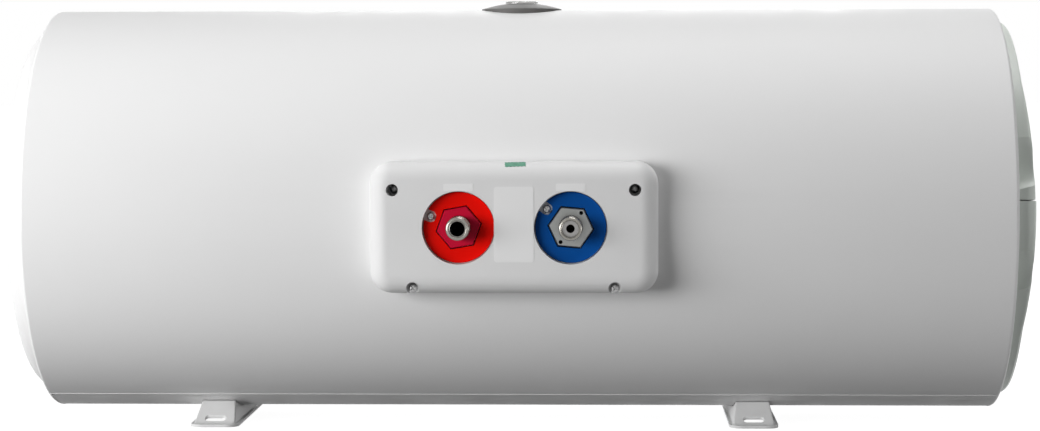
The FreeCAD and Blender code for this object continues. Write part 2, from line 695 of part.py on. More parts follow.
def right_cover_lower():
    """Lower half of the right cover, standing a little prouder, with the gland's hole."""
    shell = cover_shell(COVER_LOWER_PROUD, SCOOP_LOWER, HALF - COVER_INSERTION)
    shell = add_wells(shell.common(parting_half(-1)), -1, COVER_LOWER_PROUD)
    return shell.cut(face_hole(GLAND_R + SLIP, GLAND_Y, GLAND_Z)).removeSplitter()


def right_cover_screws():
    """Pan-head screws that hold both halves of the right cover to the end plate's pillars."""
    screws = []
    floor = well_floor_x()
    for y, z in cover_screw_axes(1) + cover_screw_axes(-1):
        head = rod(COVER_SCREW_HEAD_R, V(floor, y, z), V(floor + COVER_SCREW_HEAD_HEIGHT, y, z))
        shank = rod(COVER_SCREW_SHANK_R, V(floor - COVER_SCREW_LENGTH, y, z), V(floor, y, z))
        screws.append(crossed(head.fuse(shank), V(floor + COVER_SCREW_HEAD_HEIGHT, y, z), V(1, 0, 0)))
    return Part.makeCompound(screws)


def crossed(screw, top, out):
    """Cuts a cross recess into the head of a screw whose top faces out."""
    size = 2.0 * SCREW_SLOT_DEPTH
    reach = SCREW_SLOT_REACH * size
    arm = box(V(-reach, -SCREW_SLOT_WIDTH / 2.0, -size / 2.0), V(reach, SCREW_SLOT_WIDTH / 2.0, size / 2.0))
    other = arm.copy()
    other.rotate(V(0, 0, 0), V(0, 0, 1), 90)
    cross = arm.fuse(other)
    cross.rotate(V(0, 0, 0), V(0, 0, 1), 45)
    cross.Placement = FreeCAD.Placement(top, FreeCAD.Rotation(V(0, 0, 1), out)) * cross.Placement
    return screw.cut(cross)


def end_plate():
    """Cup that closes the foam at the right end and carries the pillars of the cover."""
    r = CASING_R - CASING_SHEET - SLIP
    inner = r - END_PLATE_SKIRT_WALL
    lip = HALF - CASING_EDGE_R
    cup = turned(V(PLATE_X - END_PLATE_THICKNESS, 0, NECK_R + SLIP), [
        V(PLATE_X - END_PLATE_THICKNESS, 0, r), V(lip, 0, r), V(lip, 0, inner),
        V(PLATE_X, 0, inner), V(PLATE_X, 0, NECK_R + SLIP)])
    top = well_floor_x() - COVER_WELL_FLOOR
    for y, z in cover_screw_axes(1) + cover_screw_axes(-1):
        cup = cup.fuse(rod(COVER_POST_R, V(PLATE_X - 1, y, z), V(top, y, z)))
        cup = cup.cut(rod(COVER_SCREW_SHANK_R, V(top - COVER_SCREW_LENGTH - 1, y, z), V(top + PAST, y, z)))
    return cup.removeSplitter()


def tank_ends():
    """X of the left and right weld seams of the tank's barrel."""
    height = dished_height(TANK_R, TANK_KNUCKLE_R, TANK_CROWN_R)
    left = -HALF + TANK_LEFT_GAP + height
    right = NECK_TOP_X - NECK_HEIGHT - height + neck_sink()
    return left, right


def neck_sink():
    """How far the tank's crown has fallen where the neck's bore meets it."""
    return TANK_CROWN_R - math.sqrt(TANK_CROWN_R ** 2 - NECK_R ** 2) + TANK_SHEET


def tank_form(extra):
    """Filled outer form of the tank, grown by a little."""
    left, right = tank_ends()
    heads = dished(right, 1, TANK_R + extra, TANK_KNUCKLE_R + extra, TANK_CROWN_R + extra)
    back = dished(left, -1, TANK_R + extra, TANK_KNUCKLE_R + extra, TANK_CROWN_R + extra)
    middle = Part.makeCylinder(TANK_R + extra, right - left, V(left, 0, 0), V(1, 0, 0))
    ends = [turned(V(right, 0, TANK_R + extra), heads + [V(right, 0, 0)]),
            turned(V(left, 0, TANK_R + extra), back + [V(left, 0, 0)])]
    return middle.fuse(ends).removeSplitter()


def tank_barrel():
    """Rolled barrel of the tank, with the two holes for the nipples."""
    left, right = tank_ends()
    shell = turned(V(left, 0, TANK_R), [
        V(right, 0, TANK_R), V(right, 0, TANK_R - TANK_SHEET), V(left, 0, TANK_R - TANK_SHEET)])
    holes = [pipe_rod(name, NIPPLE_SHANK_R + SLIP, -TANK_R - PAST, -TANK_R + THROUGH) for name in PIPES]
    return shell.cut(holes)


def tank_head(x, side):
    """Dished head of the tank."""
    t = TANK_SHEET
    outer = dished(x, side, TANK_R, TANK_KNUCKLE_R, TANK_CROWN_R)
    inner = dished(x, side, TANK_R - t, TANK_KNUCKLE_R - t, TANK_CROWN_R - t)
    solid = turned(V(x, 0, TANK_R), outer + [V(x, 0, 0)])
    return solid.cut(turned(V(x, 0, TANK_R - t), inner + [V(x, 0, 0)]))


def neck_tube(extra, bore):
    """Neck ring round the tank's opening, reaching into the crown."""
    low = NECK_TOP_X - NECK_HEIGHT - TANK_SHEET
    ring = rod(NECK_R + extra, V(low, 0, 0), V(NECK_TOP_X, 0, 0))
    return ring.cut(rod(bore, V(low - PAST, 0, 0), V(NECK_TOP_X + PAST, 0, 0))) if bore else ring


def tank_head_left():
    """Plain dished head."""
    return tank_head(tank_ends()[0], -1)


def tank_head_right():
    """Dished head, open in the middle for the neck."""
    return tank_head(tank_ends()[1], 1).cut(neck_tube(SLIP, 0))


def tank_neck():
    """Thick ring welded into the right head, with the threaded seats of the studs."""
    ring = neck_tube(0.0, NECK_BORE_R)
    for y, z in stud_places():
        ring = ring.cut(rod(STUD_R, V(NECK_TOP_X - NECK_HEIGHT + 2, y, z), V(NECK_TOP_X + PAST, y, z)))
    return ring


def stud_places():
    """Y and Z of the studs round the flange."""
    places = []
    for k in range(STUD_COUNT):
        a = math.radians(30.0 + 360.0 * k / STUD_COUNT)
        places.append((STUD_CIRCLE_R * math.cos(a), STUD_CIRCLE_R * math.sin(a)))
    return places


def flange_disc(x_start, x_end, bore):
    """Round plate with the holes for the studs and an optional bore."""
    disc = rod(NECK_R, V(x_start, 0, 0), V(x_end, 0, 0))
    tools = [rod(STUD_R + 0.5, V(x_start - PAST, y, z), V(x_end + PAST, y, z)) for y, z in stud_places()]
    if bore:
        tools.append(rod(bore, V(x_start - PAST, 0, 0), V(x_end + PAST, 0, 0)))
    return disc.cut(tools)


def flange_gasket():
    """Rubber ring between the neck and the flange."""
    return flange_disc(NECK_TOP_X, GASKET_TOP_X, NECK_BORE_R)


def element_legs():
    """Y of the four legs of the two heating loops."""
    return [-ELEMENT_LEG_OUTER_Y, -ELEMENT_LEG_INNER_Y, ELEMENT_LEG_INNER_Y, ELEMENT_LEG_OUTER_Y]


def flange_plate():
    """Steel flange that carries the heating loops, the pocket and the anode."""
    plate = flange_disc(GASKET_TOP_X, FLANGE_TOP_X, 0)
    low = GASKET_TOP_X - PAST
    high = FLANGE_TOP_X + PAST
    tools = [rod(ELEMENT_TUBE_R, V(low, y, ELEMENT_LEG_Z), V(high, y, ELEMENT_LEG_Z)) for y in element_legs()]
    tools.append(rod(POCKET_R, V(low, 0, POCKET_Z), V(high, 0, POCKET_Z)))
    tools.append(rod(ANODE_ROD_R + SLIP, V(low, 0, ANODE_Z), V(high, 0, ANODE_Z)))
    return plate.cut(tools)


def flange_studs():
    """Studs screwed into the neck."""
    low = NECK_TOP_X - NECK_HEIGHT + 2
    high = FLANGE_TOP_X + FLANGE_NUT_HEIGHT + STUD_ABOVE_NUT
    return Part.makeCompound([rod(STUD_R, V(low, y, z), V(high, y, z)) for y, z in stud_places()])


def flange_nuts():
    """Hexagon nuts on the studs."""
    nuts = []
    for y, z in stud_places():
        nut = hexagon(FLANGE_NUT_FLATS, V(FLANGE_TOP_X, y, z), V(FLANGE_TOP_X + FLANGE_NUT_HEIGHT, y, z))
        nuts.append(nut.cut(rod(STUD_R, V(FLANGE_TOP_X - PAST, y, z), V(FLANGE_TOP_X + THROUGH, y, z))))
    return Part.makeCompound(nuts)


def element_loop(side):
    """Tubular heating loop: two straight legs joined by a half turn, with its two terminals."""
    inner = side * ELEMENT_LEG_INNER_Y
    outer = side * ELEMENT_LEG_OUTER_Y
    bend = abs(outer - inner) / 2.0
    tip = FLANGE_TOP_X - ELEMENT_LENGTH
    z = ELEMENT_LEG_Z
    middle = (inner + outer) / 2.0
    path = Part.Wire([
        Part.LineSegment(V(FLANGE_TOP_X, inner, z), V(tip, inner, z)).toShape(),
        Part.Arc(V(tip, inner, z), V(tip - bend, middle, z), V(tip, outer, z)).toShape(),
        Part.LineSegment(V(tip, outer, z), V(FLANGE_TOP_X, outer, z)).toShape()])
    circle = Part.makeCircle(ELEMENT_TUBE_R, V(FLANGE_TOP_X, inner, z), V(1, 0, 0))
    loop = path.makePipeShell([Part.Wire([circle])], True, False)
    for y in (inner, outer):
        end = FLANGE_TOP_X + ELEMENT_TERMINAL_LENGTH
        loop = loop.fuse(rod(ELEMENT_TERMINAL_R, V(FLANGE_TOP_X - 2, y, z), V(end, y, z)))
    return loop


def heating_loops():
    """Both heating loops."""
    return Part.makeCompound([element_loop(-1), element_loop(1)])


def sensor_pocket():
    """Closed tube that keeps the thermostat's rod dry."""
    tip = FLANGE_TOP_X - POCKET_LENGTH
    tube = rod(POCKET_R, V(tip, 0, POCKET_Z), V(FLANGE_TOP_X + 2, 0, POCKET_Z))
    return tube.cut(rod(POCKET_R - POCKET_WALL, V(tip + 2, 0, POCKET_Z), V(FLANGE_TOP_X + PAST, 0, POCKET_Z)))


def anode():
    """Magnesium bar, cast round the end of its rod."""
    end = GASKET_TOP_X - 1.0
    bar = rod(ANODE_R, V(end - ANODE_LENGTH, 0, ANODE_Z), V(end, 0, ANODE_Z))
    top = FLANGE_TOP_X + ANODE_NUT_HEIGHT + 2.0
    return bar.fuse(rod(ANODE_ROD_R, V(end - ANODE_ROD_BITE, 0, ANODE_Z), V(top, 0, ANODE_Z)))


def anode_nut():
    """Nut that holds the anode's rod on the flange."""
    seat = V(FLANGE_TOP_X, 0, ANODE_Z)
    nut = hexagon(ANODE_NUT_FLATS, seat, seat + V(ANODE_NUT_HEIGHT, 0, 0))
    return nut.cut(rod(ANODE_ROD_R, seat - V(PAST, 0, 0), seat + V(THROUGH, 0, 0)))


def thermostat_rod():
    """Sensing rod of the thermostat, inside the pocket."""
    low = FLANGE_TOP_X - THERMOSTAT_ROD_LENGTH
    return rod(THERMOSTAT_ROD_R, V(low, 0, POCKET_Z), V(THERMOSTAT_X + 2, 0, POCKET_Z))


def thermostat():
    """Thermostat with its cut-out, its sensing rod and the socket of its spindle."""
    z = KNOB_Z
    body = box(V(THERMOSTAT_X, -THERMOSTAT_WIDTH / 2.0, z - THERMOSTAT_HEIGHT / 2.0),
               V(THERMOSTAT_TOP_X, THERMOSTAT_WIDTH / 2.0, z + THERMOSTAT_HEIGHT / 2.0))
    corners = [e for e in body.Edges if abs(e.tangentAt(e.FirstParameter).x) > 0.9]
    body = body.makeFillet(THERMOSTAT_CORNER, corners)
    body = body.fuse(thermostat_rod())
    mouth_x = THERMOSTAT_TOP_X + MOUTH_HEIGHT
    body = body.fuse(rod(SPINDLE_R + MOUTH_WALL, V(THERMOSTAT_TOP_X - TOUCH, 0, z), V(mouth_x, 0, z)))
    socket = rod(SPINDLE_R + SPINDLE_RUNNING_GAP, V(mouth_x - SPINDLE_DEPTH - SOCKET_END_GAP, 0, z),
                 V(mouth_x + PAST, 0, z))
    deep = RESET_BUTTON_SEAT + RESET_BUTTON_TRAVEL + SOCKET_END_GAP
    return body.cut([socket, button_rod(BUTTON_RUNNING_GAP, deep, PAST)])


def button_rod(extra, deep, high):
    """Rod on the reset button's axis, from a depth in the thermostat to a height over it."""
    z = KNOB_Z - RESET_BUTTON_BELOW_SPINDLE
    return rod(RESET_BUTTON_R + extra, V(THERMOSTAT_TOP_X - deep, RESET_BUTTON_Y, z),
               V(THERMOSTAT_TOP_X + high, RESET_BUTTON_Y, z))


def reset_button():
    """Reset button of the thermal cut-out, pushed in to reset it."""
    return button_rod(0.0, RESET_BUTTON_SEAT, RESET_BUTTON_HEIGHT)


def knob_base_x():
    """X of the underside of the temperature knob."""
    return knob_floor_x() + KNOB_GAP


def knob():
    """Round temperature knob with finger grooves and a pointer rib."""
    x = knob_base_x()
    body = rod(KNOB_R, V(x, 0, KNOB_Z), V(x + KNOB_HEIGHT, 0, KNOB_Z))
    body = body.makeFillet(KNOB_EDGE_R, [e for e in body.Edges if e.BoundBox.XMin > x + KNOB_HEIGHT - 0.1])
    grooves = []
    for k in range(KNOB_GRIP_COUNT):
        a = math.radians(360.0 * (k + 0.5) / KNOB_GRIP_COUNT)
        y = (KNOB_R + KNOB_GRIP_R * 0.5) * math.cos(a)
        z = KNOB_Z + (KNOB_R + KNOB_GRIP_R * 0.5) * math.sin(a)
        grooves.append(rod(KNOB_GRIP_R, V(x - PAST, y, z), V(x + KNOB_HEIGHT + PAST, y, z)))
    top = x + KNOB_HEIGHT
    half = KNOB_MARK_WIDTH / 2.0
    mark = box(V(top - TOUCH, -half, KNOB_Z + KNOB_MARK_FROM_CENTRE),
               V(top + KNOB_MARK_HEIGHT, half, KNOB_Z + KNOB_R - KNOB_MARK_FROM_EDGE))
    bore = rod(SPINDLE_R, V(x - PAST, 0, KNOB_Z), V(top - KNOB_TOP_WALL, 0, KNOB_Z))
    return body.cut(grooves).fuse(mark).cut(bore).removeSplitter()


def spindle():
    """Shaft between the knob and the thermostat."""
    low = THERMOSTAT_TOP_X + MOUTH_HEIGHT - SPINDLE_DEPTH
    return rod(SPINDLE_R, V(low, 0, KNOB_Z), V(knob_base_x() + KNOB_HEIGHT - KNOB_TOP_WALL, 0, KNOB_Z))


def terminal_block():
    """Three-pole terminal block on the end plate."""
    dx, dy, dz = TERMINAL_BLOCK_SIZE
    low = V(PLATE_X, TERMINAL_BLOCK_Y - dy / 2.0, TERMINAL_BLOCK_Z - dz / 2.0)
    block = box(low, low + V(dx, dy, dz))
    for k in (-1, 0, 1):
        y = TERMINAL_BLOCK_Y + k * TERMINAL_SCREW_PITCH
        block = block.cut(rod(TERMINAL_SCREW_R + 0.5, V(PLATE_X + dx - 4, y, TERMINAL_BLOCK_Z),
                              V(PLATE_X + dx + PAST, y, TERMINAL_BLOCK_Z)))
        way = rod(WIRE_HOLE_R, V(PLATE_X + WIRE_HOLE_RISE, y, TERMINAL_BLOCK_Z - dz),
                  V(PLATE_X + WIRE_HOLE_RISE, y, TERMINAL_BLOCK_Z + dz))
        block = block.cut(way)
    return block


def terminal_screws():
    """Clamping screws of the terminal block."""
    dx = TERMINAL_BLOCK_SIZE[0]
    screws = []
    for k in (-1, 0, 1):
        y = TERMINAL_BLOCK_Y + k * TERMINAL_SCREW_PITCH
        low = V(PLATE_X + dx - 4, y, TERMINAL_BLOCK_Z)
        top = low + V(TERMINAL_SCREW_HEIGHT, 0, 0)
        screws.append(crossed(rod(TERMINAL_SCREW_R, low, top), top, V(1, 0, 0)))
    return Part.makeCompound(screws)


def pilot_lamp():
    """Pilot lamp in the face of the right cover."""
    face = cover_face_x(LAMP_Z - LAMP_FLANGE_R, 0.0)
    stem = rod(LAMP_R, V(face - LAMP_LENGTH, 0, LAMP_Z), V(face + LAMP_FLANGE_HEIGHT, 0, LAMP_Z))
    return stem.fuse(rod(LAMP_FLANGE_R, V(face, 0, LAMP_Z), V(face + LAMP_FLANGE_HEIGHT, 0, LAMP_Z)))


def cable_gland():
    """Gland in the lower half of the right cover, with its hexagon and its nose."""
    face = gland_face_x()
    y = GLAND_Y
    z = GLAND_Z
    body = hexagon(GLAND_FLATS, V(face, y, z), V(face + GLAND_FLANGE_HEIGHT, y, z))
    nose = face + GLAND_FLANGE_HEIGHT
    body = body.fuse(rod(GLAND_NOSE_R, V(nose - 1, y, z), V(nose + GLAND_NOSE_LENGTH, y, z)))
    body = body.fuse(rod(GLAND_R, V(face - GLAND_INNER_LENGTH, y, z), V(face + 1, y, z)))
    return body.cut(rod(GLAND_BORE_R, V(face - THROUGH, y, z), V(face + THROUGH, y, z)))


def foam():
    """Foam between the tank and the casing."""
    r = CASING_R - CASING_SHEET - SLIP
    left = -HALF + FOAM_LEFT_INSET
    right = PLATE_X - END_PLATE_THICKNESS
    block = rod(r, V(left, 0, 0), V(right, 0, 0)).cut(tank_form(SLIP))
    tools = [neck_tube(SLIP, 0)]
    tools += [pipe_rod(name, NIPPLE_SHANK_R + SLIP, -r - PAST, -TANK_R + THROUGH) for name in PIPES]
    tools += [pipe_rod(name, GROMMET_R + SLIP, -r - PAST, -CASING_R + 9) for name in PIPES]
    tools.append(rod(GAUGE_CASE_R + SLIP, V(GAUGE_X, 0, TANK_R - PAST), V(GAUGE_X, 0, r + PAST)))
    for x, z in box_screw_points(UPPER_SCREW_SPACING, UPPER_SCREW_Z):
        end = V(x, casing_y(z, r) + BOX_SCREW_BITE, z)
        tools.append(rod(BOX_SCREW_SHANK_R + SLIP, V(x, -r - PAST, z), end))
    for start, direction in bracket_bolt_axes():
        tools.append(rod(BRACKET_BOSS_R + SLIP, start + direction * (TANK_R - PAST),
                         start + direction * (r + PAST)))
    return block.cut(tools)


def nipple(name, bore, y_root):
    """Nipple from inside the tank to its rounded end, a little thinner where it is threaded."""
    step = NUT_FACE_Y - NIPPLE_THREAD_FROM_NUT
    body = pipe_rod(name, NIPPLE_R, step, NIPPLE_END_Y)
    edges = [e for e in body.Edges if e.BoundBox.YMax < NIPPLE_END_Y + 0.1]
    body = body.makeFillet(NIPPLE_END_ROUND, edges)
    body = body.fuse(pipe_rod(name, NIPPLE_SHANK_R, y_root, step))
    return body.cut(pipe_rod(name, bore, y_root + PAST, NIPPLE_END_Y - PAST))


def nipple_root_y():
    """Y of the inner end of both nipples."""
    return casing_y(PIPE_Z, TANK_R - TANK_SHEET) + NIPPLE_ROOT_INSIDE


def hot_nipple():
    """Nipple of the hot outlet."""
    return nipple("hot", HOT_BORE_R, nipple_root_y())


def cold_nipple():
    """Nipple of the cold inlet."""
    return nipple("cold", COLD_BORE_R, nipple_root_y())


def cold_insert():
    """Insert with a narrow bore inside the cold nipple."""
    start = NIPPLE_END_Y + INSERT_RECESS
    body = pipe_rod("cold", COLD_BORE_R, start + INSERT_LENGTH, start)
    return body.cut(pipe_rod("cold", INSERT_BORE_R, start + INSERT_LENGTH + PAST, start - PAST))


def hot_pipe():
    """Pipe that takes water from the far side of the tank, open at its far end."""
    root = nipple_root_y()
    end = -casing_y(PIPE_Z, TANK_R - TANK_SHEET) - HOT_PIPE_TOP_GAP
    body = pipe_rod("hot", NIPPLE_SHANK_R, root, end)
    return body.cut(pipe_rod("hot", NIPPLE_SHANK_R - HOT_PIPE_WALL, root - PAST, end + PAST))


def cold_spreader():
    """Cap with side slots that spreads the cold water at the near side of the tank."""
    root = nipple_root_y()
    end = root + SPREADER_LENGTH
    body = pipe_rod("cold", SPREADER_R, root, end)
    body = body.cut(pipe_rod("cold", SPREADER_R - SPREADER_WALL, root + SPREADER_WALL, end - SPREADER_WALL))
    body = body.cut(pipe_rod("cold", COLD_BORE_R, root - PAST, root + PAST))
    for k in range(SPREADER_SLOT_COUNT // 2):
        slot = box(V(-SPREADER_R - PAST, root + 8, -SPREADER_SLOT_WIDTH / 2.0),
                   V(SPREADER_R + PAST, end - 6, SPREADER_SLOT_WIDTH / 2.0))
        slot.rotate(V(0, 0, 0), V(0, 1, 0), 360.0 * k / SPREADER_SLOT_COUNT)
        slot.translate(V(PIPES["cold"], 0, PIPE_Z))
        body = body.cut(slot)
    return body


def pipe_grommets():
    """Rubber grommets where the nipples leave the casing."""
    rings = []
    for name in PIPES:
        neck = pipe_rod(name, GROMMET_R - SLIP, -CASING_R + THROUGH, -CASING_R - THROUGH)
        flange = pipe_rod(name, GROMMET_OUTER_R, -CASING_R + THROUGH, -CASING_R - THROUGH)
        layer = casing_rod(GROMMET_OUTER_HEIGHT)
        below = casing_rod(-CASING_SHEET - GROMMET_INNER_HEIGHT)
        sheet = casing_rod(SLIP)
        ring = neck.common(layer).cut(below).fuse(flange.common(layer).cut(sheet))
        bore = pipe_rod(name, NIPPLE_SHANK_R + SLIP, -CASING_R + THROUGH, -CASING_R - THROUGH)
        rings.append(ring.cut(bore))
    return Part.makeCompound(rings)


def nut_form(name, flats, y_back, angle):
    """Hexagon round one connection, a corner at the angle, seen from the pipe side."""
    start = V(PIPES[name], y_back, PIPE_Z)
    corner = flats / math.sqrt(3.0)
    points = []
    for k in range(7):
        a = math.radians(angle + 60.0 * k)
        points.append(start + V(corner * math.cos(a), 0, corner * math.sin(a)))
    return Part.Face(Part.makePolygon(points))


def connection_nut(name, angle):
    """Hexagon nut with a round collar that presses on the grommet."""
    blank = nut_form(name, NUT_FLATS, NUT_BACK_Y, angle).extrude(V(0, -NUT_THICKNESS, 0))
    front = [e for e in blank.Edges if e.BoundBox.YMax < NUT_FACE_Y + 0.1]
    blank = blank.makeChamfer(NUT_EDGE_BEVEL, front)
    collar = pipe_rod(name, NUT_COLLAR_R, -CASING_R + NUT_COLLAR_INSIDE, NUT_BACK_Y - TOUCH)
    stop = casing_rod(GROMMET_OUTER_HEIGHT + SLIP)
    body = blank.fuse(collar.cut(stop))
    return body.cut(pipe_rod(name, NIPPLE_SHANK_R + SLIP, -CASING_R + THROUGH, NUT_FACE_Y - PAST))


def hot_nut():
    """Nut of the hot outlet."""
    return connection_nut("hot", HOT_NUT_ANGLE).removeSplitter()


def cold_nut():
    """Nut of the cold inlet, with two small spanner holes."""
    body = connection_nut("cold", COLD_NUT_ANGLE)
    for angle in SPANNER_HOLE_ANGLES:
        front = in_pipe_plane("cold", SPANNER_HOLE_AT_R, angle, NUT_FACE_Y - PAST)
        body = body.cut(rod(SPANNER_HOLE_R, front, front + V(0, NUT_THICKNESS + 2.0 * PAST, 0)))
    return body.removeSplitter()


def connection_disc(name, hex_angle, screw_angle):
    """Coloured disc round a nut, with a notch for its screw."""
    disc = pipe_rod(name, DISC_R, DISC_BACK_Y, DISC_FACE_Y)
    edges = [e for e in disc.Edges if e.BoundBox.YMax < DISC_FACE_Y + 0.1]
    disc = disc.makeFillet(DISC_EDGE_R, edges)
    window = nut_form(name, NUT_FLATS + 2 * DISC_HEX_GAP, DISC_BACK_Y + PAST, hex_angle)
    disc = disc.cut(window.extrude(V(0, -DISC_THICKNESS - 2.0 * PAST, 0)))
    hole = in_pipe_plane(name, DISC_SCREW_AT_R, screw_angle, DISC_BACK_Y + PAST)
    notch = rod(DISC_NOTCH_R, hole, hole - V(0, DISC_THICKNESS + 2.0 * PAST, 0))
    way = box(V(0, -DISC_THICKNESS - PAST, -DISC_NOTCH_R), V(DISC_R, PAST, DISC_NOTCH_R))
    way.rotate(V(0, 0, 0), V(0, 1, 0), -screw_angle)
    way.translate(V(hole.x, DISC_BACK_Y, hole.z))
    return disc.cut(notch.fuse(way))


def hot_disc():
    """Red disc of the hot outlet."""
    return connection_disc("hot", HOT_NUT_ANGLE, HOT_SCREW_ANGLE)


def cold_disc():
    """Blue disc of the cold inlet."""
    return connection_disc("cold", COLD_NUT_ANGLE, COLD_SCREW_ANGLE)


def disc_screw_place(name):
    """Point on the seat under one disc's screw."""
    angle = HOT_SCREW_ANGLE if name == "hot" else COLD_SCREW_ANGLE
    return in_pipe_plane(name, DISC_SCREW_AT_R, angle, DISC_BACK_Y)


def disc_screws():
    """Pan-head screws in the notches of the discs."""
    screws = []
    for name in PIPES:
        seat = disc_screw_place(name)
        top = seat - V(0, DISC_SCREW_HEAD_HEIGHT, 0)
        body = rod(DISC_SCREW_HEAD_R, seat, top)
        body = body.makeFillet(DISC_SCREW_EDGE_R, [e for e in body.Edges if e.BoundBox.YMax < top.y + 0.1])
        end = seat + V(0, DISC_SCREW_LENGTH - DISC_SCREW_HEAD_HEIGHT, 0)
        body = body.fuse(rod(DISC_SCREW_SHANK_R, end, seat))
        screws.append(crossed(body, top, FACE_OUT))
    return Part.makeCompound(screws)


def box_form(inset):
    """Filled form of the connection cover, inset all round, with rounded corners and front."""
    back = -CASING_R * 0.7
    front = BOX_FRONT_Y + inset
    half = BOX_WIDTH / 2.0 - inset
    low = V(BOX_CENTRE_X - half, front, BOX_BOTTOM_Z + inset)
    form = box(low, V(BOX_CENTRE_X + half, back, BOX_TOP_Z - inset))
    upright = [e for e in form.Edges if abs(e.tangentAt(e.FirstParameter).y) > 0.9]
    form = form.makeFillet(BOX_CORNER_R - inset, upright)
    rim = [e for e in form.Edges if e.BoundBox.YMax < front + 0.01]
    return form.makeFillet(BOX_EDGE_R - inset, rim)


def casing_rod(extra):
    """Cylinder of the casing's size, to fit pieces that sit on it."""
    return rod(CASING_R + extra, V(-HALF, 0, 0), V(HALF, 0, 0))


def upper_well_floor_y():
    """Y of the floor of the upper screw wells, just clear of the casing."""
    return casing_y(UPPER_SCREW_Z + UPPER_WELL_R + BOX_WELL_WALL, CASING_R) - 1.0 - BOX_WELL_FLOOR


def connection_cover():
    """White moulded cover over the connections, fitted to the casing."""
    shell = box_form(0.0).cut(box_form(BOX_WALL))
    solid = box_form(0.4)
    for name in PIPES:
        seat_back = DISC_BACK_Y + DISC_SEAT_THICKNESS
        shell = shell.fuse(pipe_rod(name, DISC_HOLE_R + DISC_TUBE_WALL, seat_back, BOX_FRONT_Y + 1))
        boss = disc_screw_place(name)
        shell = shell.fuse(rod(DISC_BOSS_R, boss + V(0, DISC_BOSS_LENGTH, 0), boss + V(0, 0.5, 0)))
    for x, z in box_screw_points(UPPER_SCREW_SPACING, UPPER_SCREW_Z):
        low = upper_well_floor_y() + BOX_WELL_FLOOR
        post = rod(UPPER_WELL_R + BOX_WELL_WALL, V(x, low, z), V(x, BOX_FRONT_Y, z))
        shell = shell.fuse(post.common(solid))
    for x, z in box_screw_points(LOWER_SCREW_SPACING, LOWER_SCREW_Z):
        low = LOWER_WELL_FLOOR_Y + BOX_WELL_FLOOR
        post = rod(LOWER_WELL_R + BOX_WELL_WALL, V(x, low, z), V(x, BOX_FRONT_Y, z))
        deep = LOWER_WELL_FLOOR_Y + LOWER_SCREW_LENGTH
        pin = rod(BOX_SCREW_SHANK_R + BOX_WELL_WALL, V(x, deep, z), V(x, BOX_FRONT_Y, z))
        shell = shell.fuse(post.fuse(pin).common(solid))
    tools = [casing_rod(BOX_CASING_GAP)]
    for name in PIPES:
        tools.append(pipe_rod(name, DISC_HOLE_R, DISC_BACK_Y, BOX_FRONT_Y - PAST))
        tools.append(pipe_rod(name, DISC_SEAT_R, DISC_BACK_Y + 2.0 * PAST, BOX_FRONT_Y - PAST))
        seat = disc_screw_place(name)
        tools.append(rod(DISC_SCREW_SHANK_R, seat + V(0, DISC_SCREW_LENGTH, 0), seat - V(0, 5, 0)))
    for x, z in box_screw_points(UPPER_SCREW_SPACING, UPPER_SCREW_Z):
        tools.append(rod(UPPER_WELL_R, V(x, upper_well_floor_y(), z), V(x, BOX_FRONT_Y - PAST, z)))
        tools.append(rod(BOX_SCREW_SHANK_R + SLIP, V(x, -CASING_R + THROUGH, z), V(x, BOX_FRONT_Y, z)))
    for x, z in box_screw_points(LOWER_SCREW_SPACING, LOWER_SCREW_Z):
        tools.append(rod(LOWER_WELL_R, V(x, LOWER_WELL_FLOOR_Y, z), V(x, BOX_FRONT_Y - PAST, z)))
        end = V(x, LOWER_WELL_FLOOR_Y + LOWER_SCREW_LENGTH, z)
        tools.append(rod(BOX_SCREW_SHANK_R, end, V(x, BOX_FRONT_Y, z)))
    reach = LOWER_SCREW_SPACING / 2.0 - LOWER_WELL_R
    slab = box(V(BOX_CENTRE_X - reach, BOX_FRONT_Y - PAST, BOX_GROOVE_Z - BOX_GROOVE_WIDTH / 2.0),
               V(BOX_CENTRE_X + reach, -CASING_R, BOX_GROOVE_Z + BOX_GROOVE_WIDTH / 2.0))
    tools.append(slab.cut(box_form(BOX_GROOVE_DEPTH)))
    return shell.cut(tools).removeSplitter()


def upper_cover_screws():
    """Screws at the bottom of the deep wells, into the casing."""
    screws = []
    for x, z in box_screw_points(UPPER_SCREW_SPACING, UPPER_SCREW_Z):
        floor = upper_well_floor_y()
        top = V(x, floor - BOX_SCREW_HEAD_HEIGHT, z)
        head = rod(BOX_SCREW_HEAD_R, V(x, floor, z), top)
        end = casing_y(z, CASING_R - CASING_SHEET - SLIP) + BOX_SCREW_BITE
        screws.append(crossed(head.fuse(rod(BOX_SCREW_SHANK_R, V(x, end, z), V(x, floor, z))), top, FACE_OUT))
    return Part.makeCompound(screws)


def lower_cover_screws():
    """Screws in the shallow wells at the lower edge of the cover."""
    screws = []
    for x, z in box_screw_points(LOWER_SCREW_SPACING, LOWER_SCREW_Z):
        floor = LOWER_WELL_FLOOR_Y
        top = V(x, floor - BOX_SCREW_HEAD_HEIGHT, z)
        head = rod(BOX_SCREW_HEAD_R, V(x, floor, z), top)
        head = head.makeFillet(BOX_SCREW_EDGE_R, [e for e in head.Edges if e.BoundBox.YMax < top.y + 0.1])
        end = floor + LOWER_SCREW_LENGTH - 1.0
        screws.append(crossed(head.fuse(rod(BOX_SCREW_SHANK_R, V(x, end, z), V(x, floor, z))), top, FACE_OUT))
    return Part.makeCompound(screws)


def plate_label(x, z_low, z_high, width, corner):
    """Thin plate with rounded corners on the front of the connection cover."""
    low = V(x - width / 2.0, BOX_FRONT_Y - LABEL_THICKNESS, z_low)
    plate = box(low, V(x + width / 2.0, BOX_FRONT_Y, z_high))
    return plate.makeFillet(corner, [e for e in plate.Edges if abs(e.tangentAt(e.FirstParameter).y) > 0.9])


